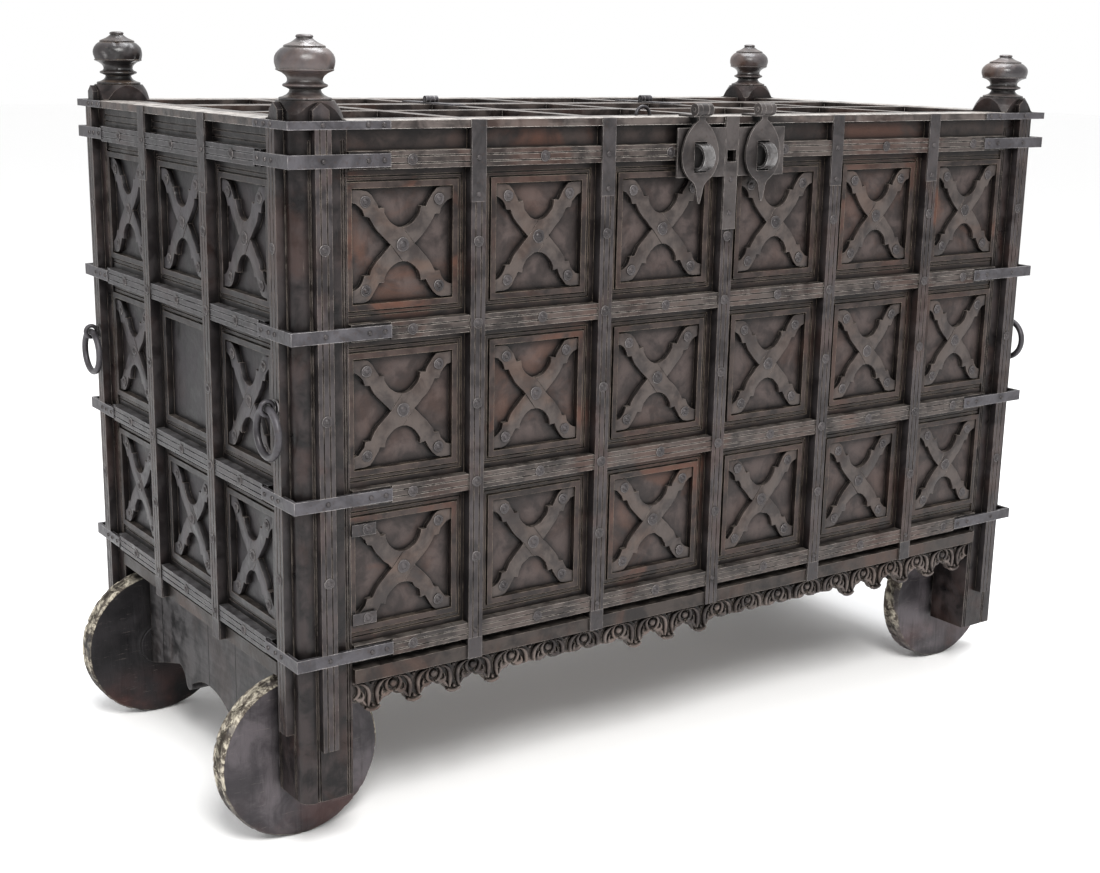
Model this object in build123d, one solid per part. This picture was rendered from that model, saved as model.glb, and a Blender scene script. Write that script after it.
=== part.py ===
from build123d import *
import os

# Iron-strapped wooden chest on four disc wheels.  Millimetres, +Z up, front towards -Y, +X right.
# The origin is on the floor, under the middle of the whole object's box.

# ---- driving dimensions ----
CASE_W = 1740.0            # over the straps, left to right
CASE_D = 924.0             # over the straps, front to rear
RIM_Z = 1232.0             # top of the rim above the floor
POST = 92.0                # square corner posts
POST_SET = 16.0            # post faces behind the strap faces
POST_FOOT_Z = 106.0        # underside of the posts
CORNER_ROUND = 20.0        # worn outer edge of the front left post
CORNER_CRISP = 8.0         # outer edges of the other posts
FRONT_LINES = (-529.0, -266.0, 8.0, 276.0, 541.0)    # middles of the front uprights
END_PITCH = 268.0          # uprights on the ends
LOCK_X = 8.0               # the lock is on the third upright
STRAP = 28.0               # face width of uprights and rails
STRAP_DEEP = 28.0          # from strap face to wall board
WALL_T = 25.0
RAIL_LEVELS = (1171.0, 900.0, 628.0, 361.0)
RIM_T = 13.0
TIE_T = 3.0                # iron tie plates on the ends of the uprights
LAP = 14.0                 # uprights pass in front of the rails by this much
PLATE_H = 21.0             # iron corner plates
PLATE_T = 6.0
PLATE_LONG = 178.0
PLATE_SHORT = 122.0
BOTTOM_RAIL_Z = (309.0, 333.0)
WALL_FOOT_Z = 309.0
MOULD_T = 12.0
MOULD_W = 30.0
BEAD_W = 10.0              # raised inner bead of a panel frame
STEP = 3.0                 # outer step of a panel frame behind its bead
CROSS_T = 10.0
CROSS_HALF = 89.0
WHEEL_R = 148.0
WHEEL_T = 44.0
AXLE_R = 15.0
AXLE_PLAY = 0.08
HUB_R = 42.0
BEAM_T = 40.0
STAPLE_PROUD = 40.0        # hasp staples stand this far in front of the straps
NAIL_PROUD = 3.8           # rosette nails stand this far behind the rear straps
HASP_X = 74.0              # hasps either side of the middle upright
LATCH_Z = 1162.0           # middle of the staples and of the keyhole
KEYHOLE = 21.0
RING_R = 40.0              # middle of the ring bar
RING_BAR = 6.0             # its radius
RING_Z = 783.0             # pivot of the ring handles
LID_LINE = 596.0           # lid hinge line, behind the front strap face
FLOOR_T = 24.0
GAP = 3.0                  # clearance round the lid
TOP_T = 24.0               # lid strips, and the boards under them

# ---- worked-out places ----
FRONT_Y = -(CASE_D + STAPLE_PROUD + NAIL_PROUD) / 2 + STAPLE_PROUD
BACK_Y = FRONT_Y + CASE_D
MID_Y = (FRONT_Y + BACK_Y) / 2
HALF_W = CASE_W / 2
HALF_D = CASE_D / 2
POST_IN = POST_SET + POST              # strap face to the inner face of a post
POST_MID = POST_SET + POST / 2
INNER = STRAP_DEEP + WALL_T            # strap face to the inside of a wall
PLATE_OUT = 3.0                        # hasp plates and keyhole plate, proud of the straps
EDGE_STRIP = 60.0                      # strips on the posts, from the corner
SPAN_W = CASE_W - 2 * POST_IN
SPAN_D = CASE_D - 2 * POST_IN
END_UPRIGHTS = [-END_PITCH / 2, END_PITCH / 2]

# A side is modelled with x along it, y inwards from the strap face and z up, then placed.
SIDES = {
    "front": Location((0, FRONT_Y, 0), (0, 0, 0)),
    "rear": Location((0, BACK_Y, 0), (0, 0, 180)),
    "left": Location((-HALF_W, MID_Y, 0), (0, 0, -90)),
    "right": Location((HALF_W, MID_Y, 0), (0, 0, 90)),
}
HALF = {"front": HALF_W, "rear": HALF_W, "left": HALF_D, "right": HALF_D}
SPAN = {"front": SPAN_W, "rear": SPAN_W, "left": SPAN_D, "right": SPAN_D}
UPRIGHTS = {
    "front": list(FRONT_LINES),
    "rear": [-x for x in reversed(FRONT_LINES)],
    "left": END_UPRIGHTS,
    "right": END_UPRIGHTS,
}
nodes = {}


def block(x0, x1, y0, y1, z0, z1):
    """A box between two corners."""
    middle = ((x0 + x1) / 2, (y0 + y1) / 2, (z0 + z1) / 2)
    return Pos(*middle) * Box(abs(x1 - x0), abs(y1 - y0), abs(z1 - z0))


def cylinder_y(radius, x, z, y0, y1):
    """A round bar along y."""
    return Pos(x, (y0 + y1) / 2, z) * Rot(90, 0, 0) * Cylinder(radius, abs(y1 - y0))


def cylinder_x(radius, y, z, x0, x1):
    """A round bar along x."""
    return Pos((x0 + x1) / 2, y, z) * Rot(0, 90, 0) * Cylinder(radius, abs(x1 - x0))


def keyway(y0, y1):
    """The square way for the key, between two depths behind the front straps."""
    half = KEYHOLE / 2
    return block(LOCK_X - half, LOCK_X + half, y0, y1, LATCH_Z - half, LATCH_Z + half)


def put(side, shapes):
    """Place side shapes on one side of the chest."""
    return [SIDES[side] * shape for shape in shapes]


def keep(name, *groups):
    """Collect the solids of one node."""
    solids = []
    for group in groups:
        for shape in group if isinstance(group, (list, tuple)) else [group]:
            solids.extend(shape.solids())
    nodes[name] = solids


def coffer_columns(side):
    """Left edge, right edge of each sunk field between the uprights of a side."""
    edges = [-SPAN[side] / 2]
    for x in UPRIGHTS[side]:
        edges += [x - STRAP / 2, x + STRAP / 2]
    edges.append(SPAN[side] / 2)
    return list(zip(edges[0::2], edges[1::2]))


COFFER_ROWS = [
    (RAIL_LEVELS[row + 1] + STRAP / 2, RAIL_LEVELS[row] - STRAP / 2) for row in range(3)
]


# ---- posts and finials ----
DOWEL_R = 12.0
DOWEL_LONG = 32.0


def post(round_edge):
    """Corner post with its outer edge at -x -y rounded and its top turned to a plinth."""
    half = POST / 2
    plan = Rectangle(POST, POST)
    plan = fillet(plan.vertices().sort_by(lambda v: v.X + v.Y)[0], round_edge)
    top = RIM_Z + 29
    body = Pos(0, 0, POST_FOOT_Z) * extrude(plan, top - POST_FOOT_Z)
    turned = Polyline(
        (0, POST_FOOT_Z - 1), (POST, POST_FOOT_Z - 1), (POST, RIM_Z - 6), (half * 1.30, RIM_Z + 2),
        (half * 1.16, RIM_Z + 16), (half * 0.98, RIM_Z + 29), (0, RIM_Z + 29), (0, POST_FOOT_Z - 1),
    )
    body &= revolve(Plane.XZ * make_face(turned), Axis.Z)
    grooves = []
    for along in (-half * 0.42, -half * 0.32, half * 0.80, half * 0.90):
        grooves.append(block(along - 1.3, along + 1.3, -half - 1, -half + 3, 0, RIM_Z - 30))
        grooves.append(block(-half - 1, -half + 3, along - 1.3, along + 1.3, 0, RIM_Z - 30))
    body -= grooves
    body -= Pos(0, 0, top - DOWEL_LONG / 2) * Cylinder(DOWEL_R + 0.1, DOWEL_LONG + 4)
    return body


def finial(lower=0.0):
    """Turned finial on a dowel: neck, ring, cove, bulb, cap and button."""
    z = RIM_Z + 29
    s = 1.0 - lower
    pieces = [
        Line((0, z), (41, z)),
        Line((41, z), (41, z + 4 * s)),
        ThreePointArc((41, z + 4 * s), (29, z + 8 * s), (24, z + 16 * s)),
        Line((24, z + 16 * s), (35, z + 21 * s)),
        Line((35, z + 21 * s), (35, z + 24 * s)),
        ThreePointArc((35, z + 24 * s), (27, z + 29 * s), (30, z + 37 * s)),
        ThreePointArc((30, z + 37 * s), (36, z + 42 * s), (45, z + 45 * s)),
        Line((45, z + 45 * s), (44.5, z + 48 * s)),
        ThreePointArc((44.5, z + 48 * s), (47, z + 60 * s), (41, z + 73 * s)),
        ThreePointArc((41, z + 73 * s), (37, z + 77.5 * s), (31, z + 80 * s)),
        Line((31, z + 80 * s), (31, z + 82.5 * s)),
        ThreePointArc((31, z + 82.5 * s), (21, z + 87 * s), (13, z + 92.5 * s)),
        Line((13, z + 92.5 * s), (13.5, z + 96 * s)),
        ThreePointArc((13.5, z + 96 * s), (10, z + 98.4 * s), (4, z + 99 * s)),
        Line((4, z + 99 * s), (0, z + 99 * s)),
        Line((0, z + 99 * s), (0, z)),
    ]
    turned = revolve(Plane.XZ * make_face(Wire(pieces)), Axis.Z)
    return turned + Pos(0, 0, z - DOWEL_LONG / 2) * Cylinder(DOWEL_R, DOWEL_LONG)


POST_SPOTS = {
    "front_left": (-HALF_W + POST_MID, FRONT_Y + POST_MID, 0),
    "front_right": (HALF_W - POST_MID, FRONT_Y + POST_MID, 90),
    "rear_right": (HALF_W - POST_MID, BACK_Y - POST_MID, 180),
    "rear_left": (-HALF_W + POST_MID, BACK_Y - POST_MID, 270),
}
WHEEL_GAP = 0.6
WHEEL_BOSS = 8.4
WHEEL_IN = POST_IN + WHEEL_GAP + WHEEL_BOSS      # strap face to the near face of a wheel
BEAM_IN = WHEEL_IN + WHEEL_T + WHEEL_BOSS + WHEEL_GAP
AXLE_GRIP = 60.0
PIN_START = POST_IN - AXLE_GRIP
PIN_END = BEAM_IN + AXLE_GRIP


def axle_line(place):
    """Wheel centre x and the signed inward direction of one corner."""
    x, y, _ = POST_SPOTS[place]
    inward = 1 if y < MID_Y else -1
    face = FRONT_Y if y < MID_Y else BACK_Y
    return x, face, inward


for place, (x, y, turn) in POST_SPOTS.items():
    round_edge = CORNER_ROUND if place == "front_left" else CORNER_CRISP
    one_post = Pos(x, y, 0) * Rot(0, 0, turn) * post(round_edge)
    centre_x, face, inward = axle_line(place)
    one_post -= cylinder_y(
        AXLE_R, centre_x, WHEEL_R, face + inward * PIN_START, face + inward * (POST_IN + 1)
    )
    keep("post_" + place, one_post)
    keep("finial_" + place, Pos(x, y, 0) * finial(0.12 if place == "front_right" else 0.0))

# ---- wheels, axle pins and end beams ----
pins = []
for place in POST_SPOTS:
    x, face, inward = axle_line(place)
    near = face + inward * WHEEL_IN
    far = face + inward * (WHEEL_IN + WHEEL_T)
    disc = cylinder_y(WHEEL_R, x, WHEEL_R, near, far)
    disc = chamfer(disc.edges().filter_by(GeomType.CIRCLE), 3)
    disc += cylinder_y(HUB_R, x, WHEEL_R, near - inward * WHEEL_BOSS, far + inward * WHEEL_BOSS)
    disc -= cylinder_y(AXLE_R + AXLE_PLAY, x, WHEEL_R, near - inward * 20, far + inward * 20)
    keep("wheel_" + place, disc)
    pins.append(
        cylinder_y(AXLE_R, x, WHEEL_R, face + inward * PIN_START, face + inward * PIN_END)
    )
keep("axle_pins", pins)


def end_beam():
    """Board between the wheels of one end, with a lobed lower edge; x inwards, y along, z up."""
    reach = HALF_D - BEAM_IN
    lobe = 150.0
    top = BOTTOM_RAIL_Z[0]
    with BuildPart() as board:
        with BuildSketch(Plane.YZ):
            with BuildLine():
                Line((-reach, 112), (-reach, top))
                Line((-reach, top), (reach, top))
                Line((reach, top), (reach, 112))
                ThreePointArc((reach, 112), (reach - 70, 134), (lobe, 156))
                ThreePointArc((lobe, 156), (lobe - 20, 150), (lobe - 34, 128))
                ThreePointArc((lobe - 34, 128), (lobe - 50, 118), (lobe - 62, 134))
                ThreePointArc((lobe - 62, 134), (0, 160), (62 - lobe, 134))
                ThreePointArc((62 - lobe, 134), (50 - lobe, 118), (34 - lobe, 128))
                ThreePointArc((34 - lobe, 128), (20 - lobe, 150), (-lobe, 156))
                ThreePointArc((-lobe, 156), (70 - reach, 134), (-reach, 112))
            make_face()
        extrude(amount=BEAM_T / 2, both=True)
    return board.part


for side, sign in (("left", -1), ("right", 1)):
    x = sign * (HALF_W - POST_MID)
    beam = Pos(x, MID_Y, 0) * end_beam()
    for face, inward in ((FRONT_Y, 1), (BACK_Y, -1)):
        beam -= cylinder_y(
            AXLE_R, x, WHEEL_R, face + inward * (BEAM_IN - 1), face + inward * PIN_END
        )
    keep(side + "_end_beam", beam)

# ---- walls, floor and inner ledges ----
WALL_TOP = RIM_Z - RIM_T
for side in ("front", "rear"):
    wall = block(-SPAN_W / 2, SPAN_W / 2, STRAP_DEEP, INNER, WALL_FOOT_Z, WALL_TOP)
    if side == "front":
        wall -= keyway(STRAP_DEEP - 1, INNER + 1)
    keep(side + "_wall", put(side, [wall]))
for side in ("left", "right"):
    keep(side + "_wall", put(side, [
        block(-SPAN_D / 2, SPAN_D / 2, STRAP_DEEP, INNER, WALL_FOOT_Z, WALL_TOP)
    ]))

FLOOR_Z = WALL_FOOT_Z + 19
PLANKS = 5
plank_d = (CASE_D - 2 * INNER) / PLANKS
planks = []
for k in range(PLANKS):
    y0 = FRONT_Y + INNER + k * plank_d
    plank = block(
        -HALF_W + INNER, HALF_W - INNER, y0 + 0.5, y0 + plank_d - 0.5, FLOOR_Z, FLOOR_Z + FLOOR_T
    )
    for x, y, turn in POST_SPOTS.values():
        plank -= Pos(x, y, FLOOR_Z) * Box(POST + 1, POST + 1, 4 * FLOOR_T)
    planks.append(plank)
keep("floor_boards", planks)

# ---- rim, rails and uprights ----
TIE_LOW_Z = RAIL_LEVELS[3] - STRAP / 2       # top of the lower tie plates
TIE_TOP_Z = 1100.0                           # foot of the upper tie plates
KEY_PLATE_Z = 1030.0                         # foot of the keyhole plate


def reeded(length, height, deep, face):
    """A bar along x with two fine grooves in its face, starting at depth face."""
    section = Pos(face + (deep - face) / 2, 0) * Rectangle(deep - face, height)
    for offset in (-0.20, 0.20):
        section -= Pos(face, offset * height) * Rectangle(4, 2.2)
    bar = extrude(Plane.YZ * section, length / 2, both=True)
    return bar


def plate_reach(side):
    return PLATE_LONG if side in ("front", "rear") else PLATE_SHORT


def rail(side, level):
    """Horizontal rail between the posts, halved behind the uprights and the corner plates."""
    bar = Pos(0, 0, level) * reeded(SPAN[side], STRAP, STRAP_DEEP, 2.0)
    for x in UPRIGHTS[side]:
        bar -= block(x - STRAP / 2, x + STRAP / 2, -1, LAP, level - STRAP, level + STRAP)
    for sign in (-1, 1):
        start = HALF[side] - plate_reach(side)
        bar -= block(sign * start, sign * HALF[side], -1, PLATE_T, level - STRAP, level + STRAP)
    if side == "front":
        bar -= keyway(-1, STRAP_DEEP + 1)
    return bar


def rim_bar(side):
    """Top bar of one side, notched for the uprights and for the corner plates."""
    z0, z1 = RIM_Z - RIM_T, RIM_Z
    bar = block(-SPAN[side] / 2, SPAN[side] / 2, 2, INNER, z0, z1)
    for x in UPRIGHTS[side]:
        bar -= block(x - STRAP / 2, x + STRAP / 2, -1, LAP, z0 - 1, z1 + 1)
    for sign in (-1, 1):
        start = HALF[side] - plate_reach(side)
        bar -= block(sign * start, sign * HALF[side], -1, PLATE_T, z0 - 1, z1 + 1)
    return bar


def upright(side, x):
    """Upright from the bottom rail to the rim, laid over the rails, with seats for tie plates."""
    foot = BOTTOM_RAIL_Z[0]
    bar = Rot(0, 90, 0) * reeded(RIM_Z - foot, STRAP, STRAP_DEEP, 0.0)
    bar = Pos(x, 0, (RIM_Z + foot) / 2) * bar
    for level in RAIL_LEVELS:
        bar -= block(
            x - STRAP, x + STRAP, LAP, STRAP_DEEP + 1, level - STRAP / 2, level + STRAP / 2
        )
    bar -= block(x - STRAP, x + STRAP, LAP, STRAP_DEEP + 1, RIM_Z - RIM_T, RIM_Z + 1)
    bar -= block(x - STRAP, x + STRAP, LAP, STRAP_DEEP + 1, foot - 1, BOTTOM_RAIL_Z[1])
    locked = side == "front" and x == LOCK_X
    seat = KEY_PLATE_Z if locked else TIE_TOP_Z
    bar -= block(x - STRAP, x + STRAP, -1, TIE_T, seat, RIM_Z + 1)
    if locked:
        bar -= keyway(-1, STRAP_DEEP + 1)
    else:
        bar -= block(x - STRAP, x + STRAP, -1, TIE_T, foot - 1, TIE_LOW_Z)
    return bar


def tie_plates(side, x):
    """Thin iron plates at the two ends of one upright."""
    lower = block(x - STRAP / 2, x + STRAP / 2, 0, TIE_T, BOTTOM_RAIL_Z[0], TIE_LOW_Z)
    upper = block(x - STRAP / 2, x + STRAP / 2, 0, TIE_T, TIE_TOP_Z, RIM_Z)
    return [lower, upper]


REPAIR_X = -SPAN_W / 2 + 1
REPAIR_FACE = STRAP_DEEP - MOULD_T - 4
REPAIR_LOW = (COFFER_ROWS[2][0] + MOULD_W + 3, COFFER_ROWS[2][0] + MOULD_W + 23)
REPAIR_HIGH = (COFFER_ROWS[2][1] - MOULD_W - 22, COFFER_ROWS[2][1] - MOULD_W - 2)


def repair_plates():
    """Two plain plates over the ends of the arms of the lowest left cross."""
    return [
        block(REPAIR_X, REPAIR_X + 44, REPAIR_FACE, REPAIR_FACE + 4, *span)
        for span in (REPAIR_LOW, REPAIR_HIGH)
    ]


def bottom_rail(side):
    """Plain rail under the last strap rail, halved behind the uprights."""
    z0, z1 = BOTTOM_RAIL_Z
    face = 4 if side in ("front", "rear") else LAP
    bar = block(-SPAN[side] / 2, SPAN[side] / 2, face, STRAP_DEEP, z0, z1)
    for x in UPRIGHTS[side]:
        bar -= block(x - STRAP / 2, x + STRAP / 2, -1, LAP, z0 - 1, z1 + 1)
    return bar


POST_STRIP_FOOT = {"front": (201.0, 187.0), "rear": (190.0, 190.0),
                   "left": (190.0, 225.0), "right": (187.0, 190.0)}


def post_strip(side, sign):
    """Strip on a post with a pointed head above the rim, seated behind the corner plates."""
    x = sign * (HALF[side] - EDGE_STRIP)
    foot = POST_STRIP_FOOT[side][0 if sign < 0 else 1]
    top = RIM_Z + 10
    bar = Rot(0, 90, 0) * reeded(top - foot, STRAP, POST_SET, 0.0)
    bar = Pos(x, 0, (top + foot) / 2) * bar
    for level in RAIL_LEVELS:
        bar -= block(x - STRAP, x + STRAP, -1, PLATE_T, level - PLATE_H / 2, level + PLATE_H / 2)
    bar -= block(x - STRAP, x + STRAP, -1, PLATE_T, RIM_Z - RIM_T, top + 1)
    half = STRAP / 2
    point = Polyline((-half, 0), (half, 0), (half, 6), (0, 17), (-half, 6), (-half, 0))
    head = Pos(x, PLATE_T, top) * extrude(Plane.XZ * make_face(point), PLATE_T - POST_SET)
    return bar + head


for side in SIDES:
    keep(side + "_rails", put(side, [rail(side, level) for level in RAIL_LEVELS]))
    keep(side + "_uprights", put(side, [upright(side, x) for x in UPRIGHTS[side]]))
# The two ends share nodes, as their straps are the same pieces.
for kind in ("rails", "uprights"):
    nodes["end_" + kind] = nodes.pop("left_" + kind) + nodes.pop("right_" + kind)
keep("rim_bars", *[put(side, [rim_bar(side)]) for side in SIDES])
keep("bottom_rails", *[put(side, [bottom_rail(side)]) for side in SIDES])
keep("post_strips", *[put(side, [post_strip(side, -1), post_strip(side, 1)]) for side in SIDES])
keep("tie_plates", *[
    put(side, tie_plates(side, x)) for side in SIDES for x in UPRIGHTS[side]
    if not (side == "front" and x == LOCK_X)
], put("front", repair_plates()))

# ---- corner plates: five bent iron straps on each post ----
plates = []
for x, y, turn in POST_SPOTS.values():
    sx = 1 if x > 0 else -1
    sy = 1 if y > MID_Y else -1
    out_x = sx * HALF_W
    out_y = BACK_Y if sy > 0 else FRONT_Y
    for level in RAIL_LEVELS + (RIM_Z - RIM_T / 2,):
        height = RIM_T if level > RAIL_LEVELS[0] else PLATE_H
        z0, z1 = level - height / 2, level + height / 2
        bent = block(out_x, out_x - sx * PLATE_LONG, out_y, out_y - sy * PLATE_T, z0, z1)
        bent += block(out_x, out_x - sx * PLATE_T, out_y, out_y - sy * PLATE_SHORT, z0, z1)
        plates.append(bent)
keep("corner_plates", plates)

# ---- sunk panels: mouldings and crosses ----


def moulding(x0, x1, z0, z1, left, right):
    """Panel frame: a grooved outer step and a raised inner bead; left and right are side widths."""
    y0, y1 = STRAP_DEEP - MOULD_T, STRAP_DEEP
    inner = (x0 + left, x1 - right, z0 + MOULD_W, z1 - MOULD_W)

    def frame(near, far, low, high):
        """The part of the ring between two distances from the opening and two depths."""
        outside = block(inner[0] - far, inner[1] + far, low, high, inner[2] - far, inner[3] + far)
        return outside - block(
            inner[0] - near, inner[1] + near, low - 1, high + 1, inner[2] - near, inner[3] + near
        )
    ring = block(x0, x1, y0, y1, z0, z1)
    ring -= block(inner[0], inner[1], y0 - 1, y1 + 1, inner[2], inner[3])
    ring -= frame(BEAD_W, MOULD_W + 5, y0 - 1, y0 + STEP)
    ring -= frame(BEAD_W, BEAD_W + 2.6, y0, y0 + STEP + 3)
    ring -= frame(BEAD_W + 7, BEAD_W + 9.6, y0, y0 + STEP + 3)
    return ring


def frieze_strip(side, x0, x1):
    """Strip between the rim and the first rail, grooved on the ends."""
    low = RAIL_LEVELS[0] + STRAP / 2
    high = RIM_Z - RIM_T
    strip = block(x0, x1, STRAP_DEEP - MOULD_T, STRAP_DEEP, low, high)
    if side in ("left", "right"):
        for z in (low + 8, low + 19):
            strip -= block(x0 - 1, x1 + 1, 0, STRAP_DEEP - MOULD_T + 3.5, z, z + 2.6)
    return strip


EDGE_BEAD = 8.0            # the first and last columns have only a bead beside the post
EDGE_MOULD = 26.0


def column_margins(column, count):
    """Widths of the moulding at the left and right of one column."""
    if column == 0:
        return EDGE_BEAD, EDGE_MOULD
    if column == count - 1:
        return EDGE_MOULD, EDGE_BEAD
    return MOULD_W, MOULD_W


def mouldings(side):
    columns = coffer_columns(side)
    rings = []
    for column, (x0, x1) in enumerate(columns):
        left, right = column_margins(column, len(columns))
        for z0, z1 in COFFER_ROWS:
            rings.append(moulding(x0, x1, z0, z1, left, right))
    rings += [frieze_strip(side, x0, x1) for x0, x1 in columns]
    return put(side, rings)


keep("front_mouldings", mouldings("front"))
keep("rear_mouldings", mouldings("rear"))
keep("end_mouldings", mouldings("left"), mouldings("right"))


def cross(half_x):
    """Flat cross of four S-curved arms, with rounded bays above and below and barbs on the arms."""
    k = half_x / CROSS_HALF
    tall = CROSS_HALF

    def quarter(sx, sz):
        def p(x, z):
            return (sx * x * k, sz * z)
        pieces = [
            ThreePointArc(p(0, 27), p(20, 34.5), p(31.5, 52)),
            Line(p(31.5, 52), p(32.5, 60)),
            Line(p(32.5, 60), p(41.5, 58.5)),
            ThreePointArc(p(41.5, 58.5), p(52, 79), p(70, tall)),
            Line(p(70, tall), p(CROSS_HALF, tall)),
            Line(p(CROSS_HALF, tall), p(CROSS_HALF, 70)),
            ThreePointArc(p(CROSS_HALF, 70), p(77, 65), p(70, 56)),
            Line(p(70, 56), p(66.5, 46.5)),
            Line(p(66.5, 46.5), p(58, 46)),
            ThreePointArc(p(58, 46), p(45, 23), p(21, 0)),
            Line(p(21, 0), p(0, 0)),
            Line(p(0, 0), p(0, 27)),
        ]
        return make_face(Wire(pieces))

    outline = quarter(1, 1) + quarter(-1, 1) + quarter(-1, -1) + quarter(1, -1)
    return extrude(Plane.XZ * outline, -CROSS_T)


def crosses(side, skip=()):
    """Crosses of one side, lying on the wall in the panel openings."""
    columns = coffer_columns(side)
    pieces = []
    for column, (x0, x1) in enumerate(columns):
        left, right = column_margins(column, len(columns))
        middle = (x0 + left + x1 - right) / 2
        half_x = (x1 - x0 - left - right) / 2
        shape = cross(half_x - 0.2)
        for row, (z0, z1) in enumerate(COFFER_ROWS):
            if (row, column) not in skip:
                pieces.append(Pos(middle, STRAP_DEEP - CROSS_T, (z0 + z1) / 2) * shape)
    return put(side, pieces)


keep("front_crosses", crosses("front"))
keep("end_crosses", crosses("left", skip=[(1, 1)]), crosses("right"))

# ---- nails ----
ROSETTE_R = 9.5
CENTRE_ROSETTE_R = 11.7


def rosette(x, y, z, radius=ROSETTE_R):
    """Flat washer with a domed head, standing out from depth y."""
    washer = cylinder_y(radius, x, z, y - 1.6, y)
    head = Pos(x, y - 1.6, z) * Rot(90, 0, 0) * Cone(4.6, 3.0, 2.2, align=(
        Align.CENTER, Align.CENTER, Align.MIN))
    return washer + head


def dome(x, y, z, radius=5.0):
    """Small domed nail head."""
    return Pos(x, y, z) * Rot(90, 0, 0) * Cone(radius, radius * 0.55, 3.2, align=(
        Align.CENTER, Align.CENTER, Align.MIN))


def side_rosettes(side, with_crosses=True, skip=()):
    """Rosettes at the rails' and uprights' middles and on the crosses."""
    columns = coffer_columns(side)
    spots = []
    middles = [(low + high) / 2 for low, high in COFFER_ROWS]
    for x in UPRIGHTS[side]:
        locked = side == "front" and x == LOCK_X
        spots.append((x, 0.0, KEY_PLATE_Z - 13 if locked else middles[0]))
        spots += [(x, 0.0, z) for z in middles[1:]]
        spots += [(x, 0.0, z) for z in RAIL_LEVELS[1:3]]
    for column, (x0, x1) in enumerate(columns):
        spots += [((x0 + x1) / 2, 2.0, level) for level in RAIL_LEVELS]
        if not with_crosses:
            continue
        left, right = column_margins(column, len(columns))
        middle = (x0 + left + x1 - right) / 2
        reach = (x1 - x0 - left - right) / 2 - 25
        for row, (z0, z1) in enumerate(COFFER_ROWS):
            if (row, column) in skip:
                continue
            centre = (z0 + z1) / 2
            face = STRAP_DEEP - CROSS_T
            spots.append((middle, face, centre, CENTRE_ROSETTE_R))
            for a, b in ((-1, -1), (-1, 1), (1, -1), (1, 1)):
                if side == "front" and (row, column, a) == (2, 0, -1):
                    plate = REPAIR_LOW if b < 0 else REPAIR_HIGH
                    spots.append((REPAIR_X + 28, REPAIR_FACE, sum(plate) / 2))
                else:
                    spots.append((middle + a * reach, face, centre + b * 70.5))
    # On the ends the middle ones give way to the ring handles.
    strip_levels = middles if side in ("front", "rear") else middles[::2]
    for sign in (-1, 1):
        spots += [(sign * (HALF[side] - EDGE_STRIP), 0.0, z) for z in strip_levels]
    return put(side, [rosette(*spot) for spot in spots])


keep("rosette_nails",
     side_rosettes("front"), side_rosettes("rear", with_crosses=False),
     side_rosettes("left", skip=[(1, 1)]), side_rosettes("right"))


def side_domes(side):
    """Domed nails on the tie plates and the corner plates."""
    heads = []
    for x in UPRIGHTS[side]:
        if side == "front" and x == LOCK_X:
            heads += [dome(x, -PLATE_OUT, z) for z in (1060.0, 1120.0)]
        else:
            heads += [dome(x, 0, z) for z in (TIE_TOP_Z + 12, RAIL_LEVELS[0])]
        heads.append(dome(x, 0, RAIL_LEVELS[3]))
    reach = plate_reach(side)
    for level in RAIL_LEVELS + (RIM_Z - RIM_T / 2,):
        for sign in (-1, 1):
            for inset in (EDGE_STRIP, reach - 40, reach - 12):
                heads.append(dome(sign * (HALF[side] - inset), 0, level, 4.2))
    return put(side, heads)


keep("dome_nails", *[side_domes(side) for side in SIDES])

# ---- carved apron under the front ----
APRON_UNITS = 19


DEEP_UNITS = (0, 1, 2, 3, 7, 8, 9, 14, 15, 16, 17, 18)
APRON_Y = 14.0


def apron():
    """Board with a scalloped lower edge; deeper lobes at the ends and in the middle."""
    unit = SPAN_W / APRON_UNITS
    top = BOTTOM_RAIL_Z[0]
    notch = top - 38
    pieces = []
    for k in range(APRON_UNITS):
        x0 = -SPAN_W / 2 + k * unit
        xm = x0 + unit / 2
        x1 = x0 + unit
        pieces.append(ThreePointArc((x0, notch), (x0 + 7, top - 43.5), (x0 + 17, top - 45)))
        if k in DEEP_UNITS:
            pieces.append(ThreePointArc((x0 + 17, top - 45), (xm - 17, top - 51), (xm - 13, top - 57)))
            pieces.append(ThreePointArc((xm - 13, top - 57), (xm, top - 63.5), (xm + 13, top - 57)))
            pieces.append(ThreePointArc((xm + 13, top - 57), (xm + 17, top - 51), (x1 - 17, top - 45)))
        else:
            pieces.append(ThreePointArc((x0 + 17, top - 45), (xm, top - 42), (x1 - 17, top - 45)))
        pieces.append(ThreePointArc((x1 - 17, top - 45), (x1 - 7, top - 43.5), (x1, notch)))
    pieces += [
        Line((SPAN_W / 2, notch), (SPAN_W / 2, top)), Line((SPAN_W / 2, top), (-SPAN_W / 2, top)),
        Line((-SPAN_W / 2, top), (-SPAN_W / 2, notch)),
    ]
    return Pos(0, APRON_Y, 0) * extrude(Plane.XZ * make_face(Wire(pieces)), -(36 - APRON_Y))


keep("front_apron", put("front", [apron()]))

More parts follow.
